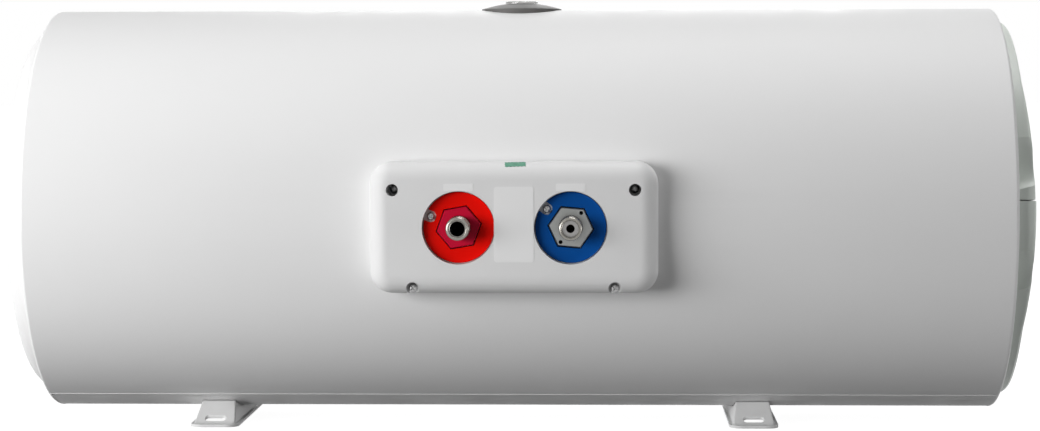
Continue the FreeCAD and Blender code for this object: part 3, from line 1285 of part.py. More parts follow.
def notice_label():
    """Bare label between the discs."""
    return plate_label(NOTICE_X, NOTICE_BOTTOM_Z, NOTICE_TOP_Z, NOTICE_WIDTH, NOTICE_CORNER_R)


def small_label(name):
    """Bare label over one disc."""
    half = SMALL_LABEL_HEIGHT / 2.0
    return plate_label(PIPES[name], SMALL_LABEL_Z - half, SMALL_LABEL_Z + half, SMALL_LABEL_WIDTH,
                       SMALL_LABEL_CORNER)


def connection_labels():
    """Both small labels."""
    return Part.makeCompound([small_label(name) for name in PIPES])


def round_sticker():
    """Bare sticker that follows the rounded top edge of the cover."""
    layer = box_form(-LABEL_THICKNESS).cut(box_form(0.0))
    half = STICKER_WIDTH / 2.0
    low = STICKER_Z - STICKER_HEIGHT / 2.0
    piece = box(V(STICKER_X - half, BOX_FRONT_Y - PAST, low),
                V(STICKER_X + half, -CASING_R, low + STICKER_HEIGHT))
    return layer.common(piece)


def gauge_bezel():
    """Domed ring of the thermometer, fitted to the casing."""
    rise = GAUGE_CROWN_Z - GAUGE_EDGE_Z
    ball = (GAUGE_R ** 2 + rise ** 2) / (2.0 * rise)
    centre = V(GAUGE_X, 0, GAUGE_CROWN_Z - ball)
    column = rod(GAUGE_R, V(GAUGE_X, 0, CASING_R - THROUGH), V(GAUGE_X, 0, CASING_R + THROUGH))
    body = column.common(Part.makeSphere(ball, centre))
    hollow = rod(GAUGE_R - GAUGE_WALL, V(GAUGE_X, 0, CASING_R - THROUGH), V(GAUGE_X, 0, CASING_R + THROUGH))
    body = body.cut(hollow.common(Part.makeSphere(ball - GAUGE_WALL, centre)))
    collar = rod(GAUGE_CASE_R, V(GAUGE_X, 0, DIAL_TOP_Z), V(GAUGE_X, 0, CASING_R + THROUGH))
    body = body.fuse(collar.common(Part.makeSphere(ball - GAUGE_WALL / 2.0, centre)))
    ledge_z = LENS_BOTTOM_Z
    tools = [casing_rod(SLIP),
             rod(LENS_R + SLIP, V(GAUGE_X, 0, ledge_z), V(GAUGE_X, 0, CASING_R + THROUGH)),
             rod(LENS_R - LENS_LEDGE, V(GAUGE_X, 0, CASING_R - THROUGH), V(GAUGE_X, 0, CASING_R + THROUGH))]
    return body.cut(tools).removeSplitter()


def gauge_lens():
    """Clear window of the thermometer, standing a little over the bezel."""
    lens = rod(LENS_R, V(GAUGE_X, 0, LENS_BOTTOM_Z), V(GAUGE_X, 0, LENS_TOP_Z))
    return lens.makeFillet(LENS_EDGE_R, [e for e in lens.Edges if e.BoundBox.ZMin > LENS_TOP_Z - 0.1])


def gauge_case():
    """Cup of the thermometer, standing on the tank."""
    top = DIAL_TOP_Z
    low = GAUGE_CASE_BOTTOM_Z
    w = GAUGE_CASE_WALL
    cup = rod(GAUGE_CASE_R, V(GAUGE_X, 0, low), V(GAUGE_X, 0, top))
    inner = rod(GAUGE_CASE_R - w, V(GAUGE_X, 0, low + w), V(GAUGE_X, 0, top + PAST))
    return cup.cut(inner)


def gauge_dial():
    """Round dial with the bearing of the pointer's pin."""
    top = DIAL_TOP_Z
    dial = rod(GAUGE_CASE_R - GAUGE_CASE_WALL, V(GAUGE_X, 0, top - DIAL_THICKNESS), V(GAUGE_X, 0, top))
    hub = rod(POINTER_PIN_R + POINTER_BEARING_WALL, V(GAUGE_X, 0, top - POINTER_PIN_LENGTH),
              V(GAUGE_X, 0, top - DIAL_THICKNESS / 2.0))
    bore = rod(POINTER_PIN_R + POINTER_RUNNING_GAP, V(GAUGE_X, 0, top - THROUGH), V(GAUGE_X, 0, top + PAST))
    return dial.fuse(hub).cut(bore)


def gauge_coil():
    """Bimetal coil's housing under the dial, on the bottom of the case."""
    low = GAUGE_CASE_BOTTOM_Z + GAUGE_CASE_WALL
    top = DIAL_TOP_Z - POINTER_PIN_LENGTH - POINTER_PIN_END_GAP
    return rod(GAUGE_COIL_R, V(GAUGE_X, 0, low), V(GAUGE_X, 0, top))


def gauge_pointer():
    """Pointer on its pin, at rest towards the low end of the dial."""
    low = DIAL_TOP_Z + POINTER_ABOVE_DIAL
    high = low + POINTER_THICKNESS
    half = POINTER_WIDTH / 2.0
    tip = POINTER_TIP_WIDTH / 2.0
    blade = Part.Face(Part.makePolygon([
        V(0, -half, low), V(POINTER_LENGTH, -tip, low), V(POINTER_LENGTH, tip, low), V(0, half, low),
        V(-POINTER_TAIL, half, low), V(-POINTER_TAIL, -half, low), V(0, -half, low)]))
    body = blade.extrude(V(0, 0, POINTER_THICKNESS))
    body.rotate(V(0, 0, 0), V(0, 0, 1), POINTER_REST_ANGLE)
    body.translate(V(GAUGE_X, 0, 0))
    body = body.fuse(rod(POINTER_HUB_R, V(GAUGE_X, 0, low), V(GAUGE_X, 0, high + POINTER_HUB_PROUD)))
    pin_end = DIAL_TOP_Z - POINTER_PIN_LENGTH + POINTER_PIN_END_GAP
    return body.fuse(rod(POINTER_PIN_R, V(GAUGE_X, 0, pin_end), V(GAUGE_X, 0, high)))


def bracket_profile(x, inset):
    """Face along a bracket: ramp up from the foot, saddle against the casing, and ramp down."""
    r = CASING_R + BRACKET_CASING_GAP + inset
    slope = math.atan2(SADDLE_TOP_Z - WALL_Z - BRACKET_SHEET, RAMP_FOOT - SADDLE_HALF)
    back = inset / math.sin(slope)
    foot = WALL_Z if inset == 0 else WALL_Z - PAST
    reach = SADDLE_HALF - back + inset / math.tan(slope)
    top = -math.sqrt(r ** 2 - reach ** 2)
    end = RAMP_FOOT - back + (WALL_Z + BRACKET_SHEET - foot) / math.tan(slope)
    return Part.Face(outline(V(x, -end, foot), [
        V(x, -reach, top), (V(x, 0, -r), V(x, reach, top)), V(x, end, foot)]))


def bracket_flare(x, inset):
    """Prism along a bracket with its two leaning sides."""
    low = WALL_Z - PAST
    high = SADDLE_TOP_Z + PAST
    lean = BRACKET_SIDE_FLARE / (SADDLE_TOP_Z - WALL_Z)
    half = BRACKET_WEB_WIDTH / 2.0 - inset
    narrow = half - lean * PAST
    wide = half + lean * (SADDLE_TOP_Z - low)
    y = -BRACKET_HALF_LENGTH - PAST
    wire = Part.makePolygon([V(x - wide, y, low), V(x + wide, y, low), V(x + narrow, y, high),
                             V(x - narrow, y, high), V(x - wide, y, low)])
    return Part.Face(wire).extrude(V(0, -2 * y, 0))


def bracket(x):
    """Pressed hat section that holds the casing off the wall, with a slot in the ramp at each end."""
    half = BRACKET_BASE_WIDTH / 2.0
    t = BRACKET_SHEET
    hat = bracket_profile(x - half, 0.0).extrude(V(2 * half, 0, 0)).common(bracket_flare(x, 0.0))
    inner = bracket_profile(x - half, t).extrude(V(2 * half, 0, 0)).common(bracket_flare(x, t))
    foot = box(V(x - half, -BRACKET_HALF_LENGTH, WALL_Z), V(x + half, BRACKET_HALF_LENGTH, WALL_Z + t))
    corners = [e for e in foot.Edges if abs(e.tangentAt(e.FirstParameter).z) > 0.9]
    foot = foot.makeFillet(BRACKET_BASE_CORNER, corners)
    body = hat.fuse(foot).cut(inner)
    for side in (-1, 1):
        y = side * SLOT_Y
        run = SLOT_LENGTH / 2.0 - SLOT_R
        slot = box(V(x - run, y - SLOT_R, WALL_Z - PAST), V(x + run, y + SLOT_R, SADDLE_TOP_Z))
        for end in (-run, run):
            slot = slot.fuse(rod(SLOT_R, V(x + end, y, WALL_Z - PAST), V(x + end, y, SADDLE_TOP_Z)))
        body = body.cut(slot)
    for start, direction in bracket_bolt_axes():
        if abs(start.x - x) < 1:
            body = body.cut(rod(BRACKET_BOLT_R + BRACKET_BOLT_HOLE_GAP, start + direction * (CASING_R - PAST),
                                start + direction * (CASING_R + BRACKET_BOLT_HOLE_DEPTH)))
    return body.removeSplitter()


def left_bracket():
    """Bracket nearer the left end."""
    return bracket(BRACKET_LEFT_X)


def right_bracket():
    """Bracket nearer the right end."""
    return bracket(BRACKET_RIGHT_X)


def bracket_bosses():
    """Threaded bosses welded to the tank, reaching the casing."""
    bosses = []
    inner = rod(TANK_R + SLIP, V(-HALF, 0, 0), V(HALF, 0, 0))
    outer = rod(CASING_R - CASING_SHEET - SLIP, V(-HALF, 0, 0), V(HALF, 0, 0))
    for start, direction in bracket_bolt_axes():
        boss = rod(BRACKET_BOSS_R, start + direction * (TANK_R - PAST), start + direction * (CASING_R + PAST))
        boss = boss.common(outer).cut(inner)
        floor = start + direction * (TANK_R + BOSS_FLOOR)
        hole = rod(BRACKET_BOLT_R, floor, start + direction * (CASING_R + PAST))
        bosses.append(boss.cut(hole))
    return Part.makeCompound(bosses)


def bracket_bolts():
    """Bolts through the brackets into the bosses."""
    bolts = []
    seat = CASING_R + BRACKET_CASING_GAP + BRACKET_SHEET + BRACKET_BOLT_GAP
    for start, direction in bracket_bolt_axes():
        under_head = start + direction * seat
        head = hexagon(BRACKET_BOLT_FLATS, under_head, under_head + direction * BRACKET_BOLT_HEAD)
        tip = under_head - direction * BRACKET_BOLT_LENGTH
        shank = rod(BRACKET_BOLT_R, tip, under_head + direction * TOUCH)
        bolts.append(head.fuse(shank))
    return Part.makeCompound(bolts)


NODES = {
    "casing": casing, "left_cap": left_cap, "right_cover_upper": right_cover_upper,
    "right_cover_lower": right_cover_lower, "right_cover_screws": right_cover_screws,
    "end_plate": end_plate, "foam": foam, "tank_barrel": tank_barrel, "tank_head_left": tank_head_left,
    "tank_head_right": tank_head_right, "tank_neck": tank_neck, "flange_gasket": flange_gasket,
    "flange_plate": flange_plate, "flange_studs": flange_studs, "flange_nuts": flange_nuts,
    "heating_loops": heating_loops, "sensor_pocket": sensor_pocket, "anode": anode, "anode_nut": anode_nut,
    "thermostat": thermostat, "reset_button": reset_button, "knob": knob, "spindle": spindle,
    "terminal_block": terminal_block, "terminal_screws": terminal_screws, "pilot_lamp": pilot_lamp,
    "cable_gland": cable_gland, "hot_nipple": hot_nipple, "cold_nipple": cold_nipple,
    "cold_insert": cold_insert, "hot_pipe": hot_pipe, "cold_spreader": cold_spreader,
    "pipe_grommets": pipe_grommets, "hot_nut": hot_nut, "cold_nut": cold_nut, "hot_disc": hot_disc,
    "cold_disc": cold_disc, "disc_screws": disc_screws, "connection_cover": connection_cover,
    "upper_cover_screws": upper_cover_screws, "lower_cover_screws": lower_cover_screws,
    "notice_label": notice_label, "connection_labels": connection_labels, "round_sticker": round_sticker,
    "gauge_bezel": gauge_bezel, "gauge_lens": gauge_lens, "gauge_case": gauge_case, "gauge_dial": gauge_dial,
    "gauge_coil": gauge_coil, "gauge_pointer": gauge_pointer, "left_bracket": left_bracket,
    "right_bracket": right_bracket, "bracket_bosses": bracket_bosses, "bracket_bolts": bracket_bolts,
}


def gland_face_x():
    """X of the underside of the gland's hexagon."""
    return cover_face_x(math.hypot(GLAND_Y, GLAND_Z) - GLAND_FLATS / math.sqrt(3.0), COVER_LOWER_PROUD)


def origin_x():
    """X of the middle between the left cap's crown and whatever reaches furthest right."""
    knob_end = knob_base_x() + KNOB_HEIGHT + KNOB_MARK_HEIGHT
    gland_end = gland_face_x() + GLAND_FLANGE_HEIGHT + GLAND_NOSE_LENGTH
    return (max(knob_end, gland_end, HALF + COVER_TOP) - HALF - CAP_HEIGHT) / 2.0


def main():
    """Makes every piece, moves it to the finished origin and writes it."""
    os.makedirs("parts", exist_ok=True)
    to_origin = V(-origin_x(), -ORIGIN_Y, -WALL_Z)
    for name, make in NODES.items():
        shape = make()
        shape.translate(to_origin)
        b = shape.BoundBox
        print(name, len(shape.Solids), shape.isValid(), round(shape.Volume / 1000.0, 2),
              [round(v, 2) for v in (b.XMin, b.XMax, b.YMin, b.YMax, b.ZMin, b.ZMax)])
        shape.exportStep("parts/" + name + ".step")


main()
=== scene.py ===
"""Looks of the storage water heater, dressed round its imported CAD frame. Sizes are in metres."""
import json
import math

import bmesh
import bpy
from mathutils import Matrix, Vector
from mathutils.bvhtree import BVHTree


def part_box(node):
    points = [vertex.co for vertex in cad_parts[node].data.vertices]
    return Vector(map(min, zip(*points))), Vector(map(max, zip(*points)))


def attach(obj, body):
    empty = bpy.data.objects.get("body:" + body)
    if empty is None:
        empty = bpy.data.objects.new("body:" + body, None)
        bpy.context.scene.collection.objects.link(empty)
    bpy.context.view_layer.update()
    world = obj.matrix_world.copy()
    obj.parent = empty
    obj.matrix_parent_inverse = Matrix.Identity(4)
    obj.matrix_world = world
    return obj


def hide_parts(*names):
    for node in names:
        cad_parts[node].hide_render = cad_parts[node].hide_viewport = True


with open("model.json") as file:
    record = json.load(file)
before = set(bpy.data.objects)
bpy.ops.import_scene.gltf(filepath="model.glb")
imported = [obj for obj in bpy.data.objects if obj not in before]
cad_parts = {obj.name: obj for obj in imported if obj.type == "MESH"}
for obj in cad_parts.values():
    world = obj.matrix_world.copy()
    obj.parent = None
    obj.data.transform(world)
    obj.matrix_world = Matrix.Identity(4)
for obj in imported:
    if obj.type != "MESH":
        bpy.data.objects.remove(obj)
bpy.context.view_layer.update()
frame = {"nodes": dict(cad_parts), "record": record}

# The camera that was fitted to the photograph, from the middle of the casing
CAMERA_FROM_CASING = Vector((0.0882751, -2.45179, 0.124746))
CAMERA_YAW = 0.0373
CAMERA_PITCH = -0.0539
CAMERA_ROLL = -0.0025
CAMERA_FOCAL_PIXELS = 2517.15
PHOTO_WIDTH_PIXELS = 1040.0
SENSOR_MM = 36.0

# Stage
FLOOR_HALF = 30.0
FLOOR_COLOUR = (0.13, 0.13, 0.13)
FLOOR_GLOW = 0.96              # lifts the floor to white for the camera, its shadow stays
WORLD_STRENGTH = 0.10

# The casing's axis and radius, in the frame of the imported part
AXIS_Y = 0.02275
AXIS_Z = 0.2025
CASING_R = 0.192

# Mesh making
MERGE_DISTANCE = 1e-7
TURNED_SEGMENTS = 72

# The part of a noise value that the finishes use, and their default wear
NOISE_LOW = 0.3
NOISE_HIGH = 0.7
LEAST_ROUGHNESS = 0.02
WEAR_SCALE = 4.0
COAT_ROUGHNESS = 0.08

# Half-inch pipe thread and the nipples' ends
THREAD_PITCH = 0.001814
THREAD_DEPTH = 0.00100
THREAD_END = 0.0225
NIPPLE_CREST_R = 0.01048
NIPPLE_SHANK_R = 0.01065
LIP_R = 0.0021
HOT_BORE = 0.0064
HOT_GROOVE = 0.0076
COLD_BORE = 0.0072
COLD_GROOVE = 0.0084
THREAD_ROWS = 12
THREAD_ROOT = 0.12
THREAD_FLANK = 0.76
THREAD_RUN_OUT = 0.0006
LIP_STEPS = 10

# Height from the tip and distance past the radius, for the inner lip and the groove round it
BORE_LIP = ((0.022, 0.0), (0.0022, 0.0), (0.0012, 0.00010), (0.0006, 0.00035), (0.0007, 0.0006))
GROOVE_LIP = ((0.0018, -0.0005), (0.0018, -0.0001), (0.0004, 0.0), (0.0, 0.0004))

# Printed marks
PRINT = 0.00006
SCALE_START = 225.0
SCALE_SWEEP = 270.0
DIAL_TICKS = 25
DIAL_TICKS_PER_NUMBER = 5
DIAL_DEGREES_PER_NUMBER = 20
DIAL_SCALE_R = 0.0142
DIAL_NUMBER_R = 0.0104
DIAL_NUMBER_SIZE = 0.0026
LONG_TICK = (0.0021, 0.00035)
SHORT_TICK = (0.0012, 0.00022)
KNOB_TICKS = 12
KNOB_FIRST_TICK = 0.0020
KNOB_TICK_GROWTH = 0.0026
KNOB_TICK_WIDTH = 0.0012
PAST_COVER_X = 0.6
KNOB_SCALE_R = 0.0223
KNOB_MARK_MIDDLE = 0.0095
KNOB_MARK_HALF = 0.0062
KNOB_MARK_HALF_WIDTH = 0.00095
KNOB_MARK_DEPTH = 0.0006

# Screws: head radius, head height, shank radius, shank length
DISC_SCREW = (0.0035, 0.0022, 0.0014, 0.0068)
BOX_SCREW = (0.0040, 0.0026, 0.0019, 0.0110)
COVER_SCREW = (0.0040, 0.0028, 0.0019, 0.0110)
DISC_SCREW_AT_R = 0.0271
DISC_SCREW_ANGLES = (("hot", 158.7), ("cold", 142.6))
FIRST_SCREW_TURN = 0.7
NEXT_SCREW_TURN = 1.9
SCREW_RINGS = 30
SCREW_RING_SPACING = 0.9
# As shares of the head's height and radius, and of the recess's reach
SCREW_EDGE = 0.45
RECESS_REACH = 0.62
RECESS_DEPTH = 0.8
RECESS_ARM = 0.24
RECESS_ARM_TAPER = 0.45
RECESS_SIDE = 0.06
RECESS_END = 0.16
RECESS_RISE = 0.35
RECESS_CORE = 0.42
RECESS_CORE_SIDE = 0.08

# Pressed brackets, measured from the bracket's middle and the wall
SHEET = 0.0025
BRACKET_REACH = 0.100
RAMP_FOOT = 0.093
SADDLE_REACH = 0.063
WEB_HALF = 0.016
WEB_FLARE = 0.004
BASE_HALF = 0.023
BASE_CORNER = 0.012
SLOT_Y = 0.086
SLOT_HALF = 0.010
SLOT_R = 0.0037
BEND_R = 0.004
FOOT_BEND_R = 0.0024
CREST_BEND_R = 0.0012
SADDLE_GAP = 0.0001
SADDLE_PAST = 0.02
BRACKET_ROWS = 72
BRACKET_CORNER_ROWS = 8
BRACKET_COLUMNS = 57
SLOT_TOOL_LOW = -0.01
SLOT_TOOL_HIGH = 0.05
SLOT_END_STEPS = 16
SHEET_EDGE_R = 0.0005

# Green sticker on the connection cover's top edge
STICKER_SIZE = (0.0185, 0.0078)
STICKER_TILT = math.radians(3.0)
STICKER_MIDDLE_ANGLE = math.radians(62.0)
STICKER_FROM_MIDDLE = 0.0016
BOX_EDGE_R = 0.016
BOX_FRONT_Y = -0.19725
BOX_TOP_Z = 0.2541
STICKER_COLUMNS = 37
STICKER_ROWS = 17
STICKER_LIFT = 0.00016
STICKER_PAPER = 0.00008

# Height of a wave and its radians per metre: torn ends, torn sides and the crumple
END_WAVE = (0.00035, 2600.0)
SIDE_WAVE = (0.00020, 1900.0)
CRUMPLE = (0.00006, 700.0, 900.0)

# Lamps: name, place, target, width, height, power
LAMPS = (
    ("key", (-1.65, -1.45, 0.36), (0.0, 0.0, 0.2), 1.9, 1.1, 53.0),
    ("top", (0.4, 0.1, 2.2), (0.1, 0.0, 0.2), 1.4, 0.9, 24.0),
    ("top_left", (-1.2, 0.0, 1.9), (-0.1, 0.0, 0.2), 0.8, 0.9, 1.5),
    ("back", (0.0, 2.4, 1.1), (0.0, 0.0, 0.2), 1.2, 1.0, 8.0),
    ("rim", (2.0, -0.4, 0.10), (0.4, 0.0, 0.15), 0.5, 0.5, 11.0),
)


def node_material(name, colour, roughness, metallic=0.0):
    """A material with its shader node ready; the callers add the texture nodes."""
    material = bpy.data.materials.new(name)
    material.use_nodes = True
    shader = material.node_tree.nodes["Principled BSDF"]
    shader.inputs["Base Color"].default_value = (*colour, 1.0)
    shader.inputs["Roughness"].default_value = roughness
    shader.inputs["Metallic"].default_value = metallic
    return material, material.node_tree, shader


def noise(tree, scale, stretch=(1.0, 1.0, 1.0), detail=3.0):
    """A noise texture in the object's own coordinates, stretched along an axis for grain."""
    place = tree.nodes.new("ShaderNodeTexCoord")
    mapping = tree.nodes.new("ShaderNodeMapping")
    mapping.inputs["Scale"].default_value = stretch
    texture = tree.nodes.new("ShaderNodeTexNoise")
    texture.inputs["Scale"].default_value = scale
    texture.inputs["Detail"].default_value = detail
    tree.links.new(place.outputs["Object"], mapping.inputs["Vector"])
    tree.links.new(mapping.outputs["Vector"], texture.inputs["Vector"])
    return texture.outputs["Fac"]


def spread(tree, value, low, high):
    """Maps the middle of a noise value to the range from low to high."""
    mapped = tree.nodes.new("ShaderNodeMapRange")
    mapped.inputs["From Min"].default_value = NOISE_LOW
    mapped.inputs["From Max"].default_value = NOISE_HIGH
    mapped.inputs["To Min"].default_value = low
    mapped.inputs["To Max"].default_value = high
    tree.links.new(value, mapped.inputs["Value"])
    return mapped.outputs["Result"]


def two_tone(tree, value, first, second):
    """A colour that wanders between two close tones."""
    ramp = tree.nodes.new("ShaderNodeValToRGB")
    for element, place, colour in zip(ramp.color_ramp.elements, (NOISE_LOW, NOISE_HIGH), (first, second)):
        element.position = place
        element.color = (*colour, 1.0)
    tree.links.new(value, ramp.inputs["Fac"])
    return ramp.outputs["Color"]


def relief(tree, shader, value, height):
    """Fine relief on the surface, in metres."""
    bump = tree.nodes.new("ShaderNodeBump")
    bump.inputs["Strength"].default_value = 1.0
    bump.inputs["Distance"].default_value = height
    tree.links.new(value, bump.inputs["Height"])
    tree.links.new(bump.outputs["Normal"], shader.inputs["Normal"])


def finish(name, colour, roughness, metallic=0.0, vary=0.04, tone_scale=9.0, grain=900.0,
           grain_height=0.00001, stretch=(1.0, 1.0, 1.0), coat=0.0, rough_vary=0.06, specular=0.5):
    """One surface: a colour that wanders a little, a roughness that follows wear, and a fine relief."""
    material, tree, shader = node_material(name, colour, roughness, metallic)
    dark = tuple(c * (1.0 - vary) for c in colour)
    light = tuple(min(1.0, c * (1.0 + vary)) for c in colour)
    tone = noise(tree, tone_scale, stretch)
    tree.links.new(two_tone(tree, tone, dark, light), shader.inputs["Base Color"])
    wear = noise(tree, tone_scale * WEAR_SCALE, stretch)
    low, high = max(LEAST_ROUGHNESS, roughness - rough_vary), min(1.0, roughness + rough_vary)
    tree.links.new(spread(tree, wear, low, high), shader.inputs["Roughness"])
    relief(tree, shader, noise(tree, grain, stretch, 2.0), grain_height)
    shader.inputs["Specular IOR Level"].default_value = specular
    shader.inputs["Coat Weight"].default_value = coat
    shader.inputs["Coat Roughness"].default_value = COAT_ROUGHNESS
    return material


FINISHES = {
    "casing_white": dict(colour=(0.83, 0.83, 0.83), roughness=0.42, vary=0.004, specular=0.06),
    "cap_white": dict(colour=(0.85, 0.85, 0.85), roughness=0.42, vary=0.004, specular=0.06),
    "cover_grey": dict(colour=(0.68, 0.725, 0.68), roughness=0.35, vary=0.01, specular=0.35),
    "box_white": dict(colour=(0.76, 0.76, 0.76), roughness=0.40, vary=0.004, specular=0.12),
    "screw_steel": dict(colour=(0.32, 0.32, 0.32), roughness=0.36, metallic=1.0, tone_scale=200.0),
    "zinc_steel": dict(colour=(0.60, 0.60, 0.58), roughness=0.38, metallic=1.0, tone_scale=120.0),
    "tank_enamel": dict(colour=(0.12, 0.16, 0.30), roughness=0.25, vary=0.08, tone_scale=30.0),
    "foam_yellow": dict(colour=(0.80, 0.68, 0.35), roughness=0.90, vary=0.10, tone_scale=60.0,
                        grain=400.0, grain_height=0.0004),
    "rubber_black": dict(colour=(0.03, 0.03, 0.03), roughness=0.70, vary=0.2),
    "flange_steel": dict(colour=(0.55, 0.55, 0.55), roughness=0.40, metallic=1.0, tone_scale=60.0),
    "loop_metal": dict(colour=(0.72, 0.42, 0.28), roughness=0.32, metallic=1.0, vary=0.1),
    "anode_metal": dict(colour=(0.70, 0.70, 0.70), roughness=0.50, metallic=1.0),
    "plastic_black": dict(colour=(0.04, 0.04, 0.04), roughness=0.50, vary=0.1),
    "plastic_cream": dict(colour=(0.75, 0.72, 0.62), roughness=0.50),
    "button_red": dict(colour=(0.60, 0.03, 0.02), roughness=0.35),
    "knob_grey": dict(colour=(0.30, 0.32, 0.31), roughness=0.38, vary=0.03),
    "lamp_amber": dict(colour=(0.80, 0.30, 0.03), roughness=0.12, coat=0.6),
    "gland_grey": dict(colour=(0.25, 0.26, 0.26), roughness=0.50),
    "nipple_nickel": dict(colour=(0.24, 0.23, 0.21), roughness=0.26, metallic=1.0, tone_scale=150.0),
    "insert_steel": dict(colour=(0.26, 0.255, 0.25), roughness=0.32, metallic=1.0, tone_scale=150.0),
    "pipe_plastic": dict(colour=(0.75, 0.75, 0.72), roughness=0.50),
    "nut_red": dict(colour=(0.56, 0.004, 0.035), roughness=0.35, tone_scale=90.0, specular=0.10),
    "nut_steel": dict(colour=(0.23, 0.235, 0.23), roughness=0.36, metallic=1.0, tone_scale=90.0),
    "disc_red": dict(colour=(0.82, 0.004, 0.001), roughness=0.35, specular=0.06),
    "disc_blue": dict(colour=(0.002, 0.070, 0.30), roughness=0.35, specular=0.06),
    "label_white": dict(colour=(0.82, 0.82, 0.82), roughness=0.45, vary=0.01),
    "sticker_green": dict(colour=(0.10, 0.30, 0.20), roughness=0.45, specular=0.2, vary=0.12,
                          tone_scale=300.0),
    "bezel_silver": dict(colour=(0.13, 0.127, 0.123), roughness=0.45, specular=0.12),
    "dial_white": dict(colour=(0.85, 0.85, 0.83), roughness=0.50, vary=0.01),
    "pointer_red": dict(colour=(0.60, 0.03, 0.02), roughness=0.45),
    "bracket_paint": dict(colour=(0.76, 0.76, 0.76), roughness=0.42, vary=0.02, tone_scale=40.0,
                          specular=0.08),
}


def lens_material():
    """Grey-tinted glass with a trace of moulding waves."""
    material, tree, shader = node_material("lens_clear", (0.46, 0.455, 0.45), 0.03)
    shader.inputs["Transmission Weight"].default_value = 1.0
    shader.inputs["IOR"].default_value = 1.45
    tree.links.new(spread(tree, noise(tree, 60.0), 0.02, 0.06), shader.inputs["Roughness"])
    relief(tree, shader, noise(tree, 40.0, detail=1.0), 0.00002)
    return material


def make_materials():
    """Every finish of the record, by its slot's name."""
    made = {name: finish(name, **values) for name, values in FINISHES.items()}
    made["lens_clear"] = lens_material()
    return made


def dress_nodes(materials):
    """Gives each CAD node the finish that the record names for it."""
    for part in frame["record"]["subparts"]:
        node = frame["nodes"][part["node"]]
        node.data.materials.clear()
        node.data.materials.append(materials[part["material_slot"]])


def middle(node):
    """The middle of a CAD node's box."""
    low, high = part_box(node)
    return (Vector(low) + Vector(high)) / 2.0


def add_piece(name, vertices, faces, material, slot, replaces=(), body="heater", crease=35.0):
    """A mesh piece that rides on a body, with smooth faces and creases where it bends sharply."""
    mesh = bpy.data.meshes.new(name)
    mesh.from_pydata([tuple(v) for v in vertices], [], faces)
    work = bmesh.new()
    work.from_mesh(mesh)
    bmesh.ops.remove_doubles(work, verts=work.verts, dist=MERGE_DISTANCE)
    bmesh.ops.recalc_face_normals(work, faces=work.faces)
    work.to_mesh(mesh)
    work.free()
    mesh.shade_smooth()
    mesh.set_sharp_from_angle(angle=math.radians(crease))
    piece = bpy.data.objects.new(name, mesh)
    bpy.context.scene.collection.objects.link(piece)
    mesh.materials.append(material)
    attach(piece, body)
    if replaces:
        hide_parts(*replaces)
    return piece


def grid_faces(rows, columns, start=0, wrap=True):
    """Quads between rows of points, closed round each row when wrap is set."""
    faces = []
    for i in range(rows - 1):
        for j in range(columns if wrap else columns - 1):
            k = (j + 1) % columns
            a = start + i * columns
            faces.append((a + j, a + k, a + columns + k, a + columns + j))
    return faces


def arc(centre, radius, start, end, steps):
    """Points of an arc as (height, radius) pairs; the angle is from the height axis, in degrees."""
    points = []
    for i in range(steps + 1):
        a = math.radians(start + (end - start) * i / steps)
        points.append((centre[0] + radius * math.cos(a), centre[1] + radius * math.sin(a)))
    return points


def frame_along(axis):
    """Two directions square to an axis."""
    axis = axis.normalized()
    side = Vector((1.0, 0.0, 0.0)) if abs(axis.x) < 0.9 else Vector((0.0, 1.0, 0.0))
    first = axis.cross(side).normalized()
    return first, axis.cross(first)


def lathe(profile, origin, axis, shape):
    """Rows of points round an axis; shape gives the radius at (height, radius, angle)."""
    segments = TURNED_SEGMENTS
    axis = axis.normalized()
    first, second = frame_along(axis)
    vertices = []
    for height, radius in profile:
        for j in range(segments):
            a = 2.0 * math.pi * j / segments
            r = shape(height, radius, a)
            vertices.append(origin + axis * height + (first * math.cos(a) + second * math.sin(a)) * r)
    return vertices, grid_faces(len(profile), segments)


def merge(parts):
    """Several (vertices, faces) pairs as one."""
    vertices, faces = [], []
    for points, quads in parts:
        start = len(vertices)
        vertices += points
        faces += [tuple(start + k for k in quad) for quad in quads]
    return vertices, faces


def threaded_nipple(name, node, bore, groove, material):
    """Half-inch threaded pipe end: a helical thread, a rounded lip, a groove and an inner tube."""
    low, high = (Vector(c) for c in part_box(node))
    centre = (low + high) / 2.0
    tip = Vector((centre.x, low.y, centre.z))
    axis = Vector((0.0, 1.0, 0.0))
    crest = NIPPLE_CREST_R
    depth = high.y - low.y

    def thread(height, radius, angle):
        if radius < crest or height > THREAD_END:
            return radius
        turn = (height / THREAD_PITCH - angle / (2.0 * math.pi)) % 1.0
        tooth = abs(2.0 * turn - 1.0)
        tooth = min(1.0, max(0.0, (tooth - THREAD_ROOT) / THREAD_FLANK))
        fade = min(1.0, (THREAD_END - height) / THREAD_PITCH, (height - LIP_R) / THREAD_PITCH)
        return radius - THREAD_DEPTH * (1.0 - tooth) * max(0.0, fade)

    profile = [(depth, bore)]
    profile += [(height, bore + past) for height, past in BORE_LIP]
    profile += [(height, groove + past) for height, past in GROOVE_LIP]
    profile += arc((LIP_R, crest - LIP_R), LIP_R, 180.0, 90.0, LIP_STEPS)
    rows = int((THREAD_END - LIP_R) / THREAD_PITCH * THREAD_ROWS)
    step = (THREAD_END - LIP_R) / rows
    profile += [(LIP_R + step * (i + 1), crest) for i in range(rows)]
    profile += [(THREAD_END + THREAD_RUN_OUT, NIPPLE_SHANK_R), (depth, NIPPLE_SHANK_R), (depth, bore)]
    add_piece(name, *lathe(profile, tip, axis, thread), material, "nipple_nickel", (node,), crease=50.0)


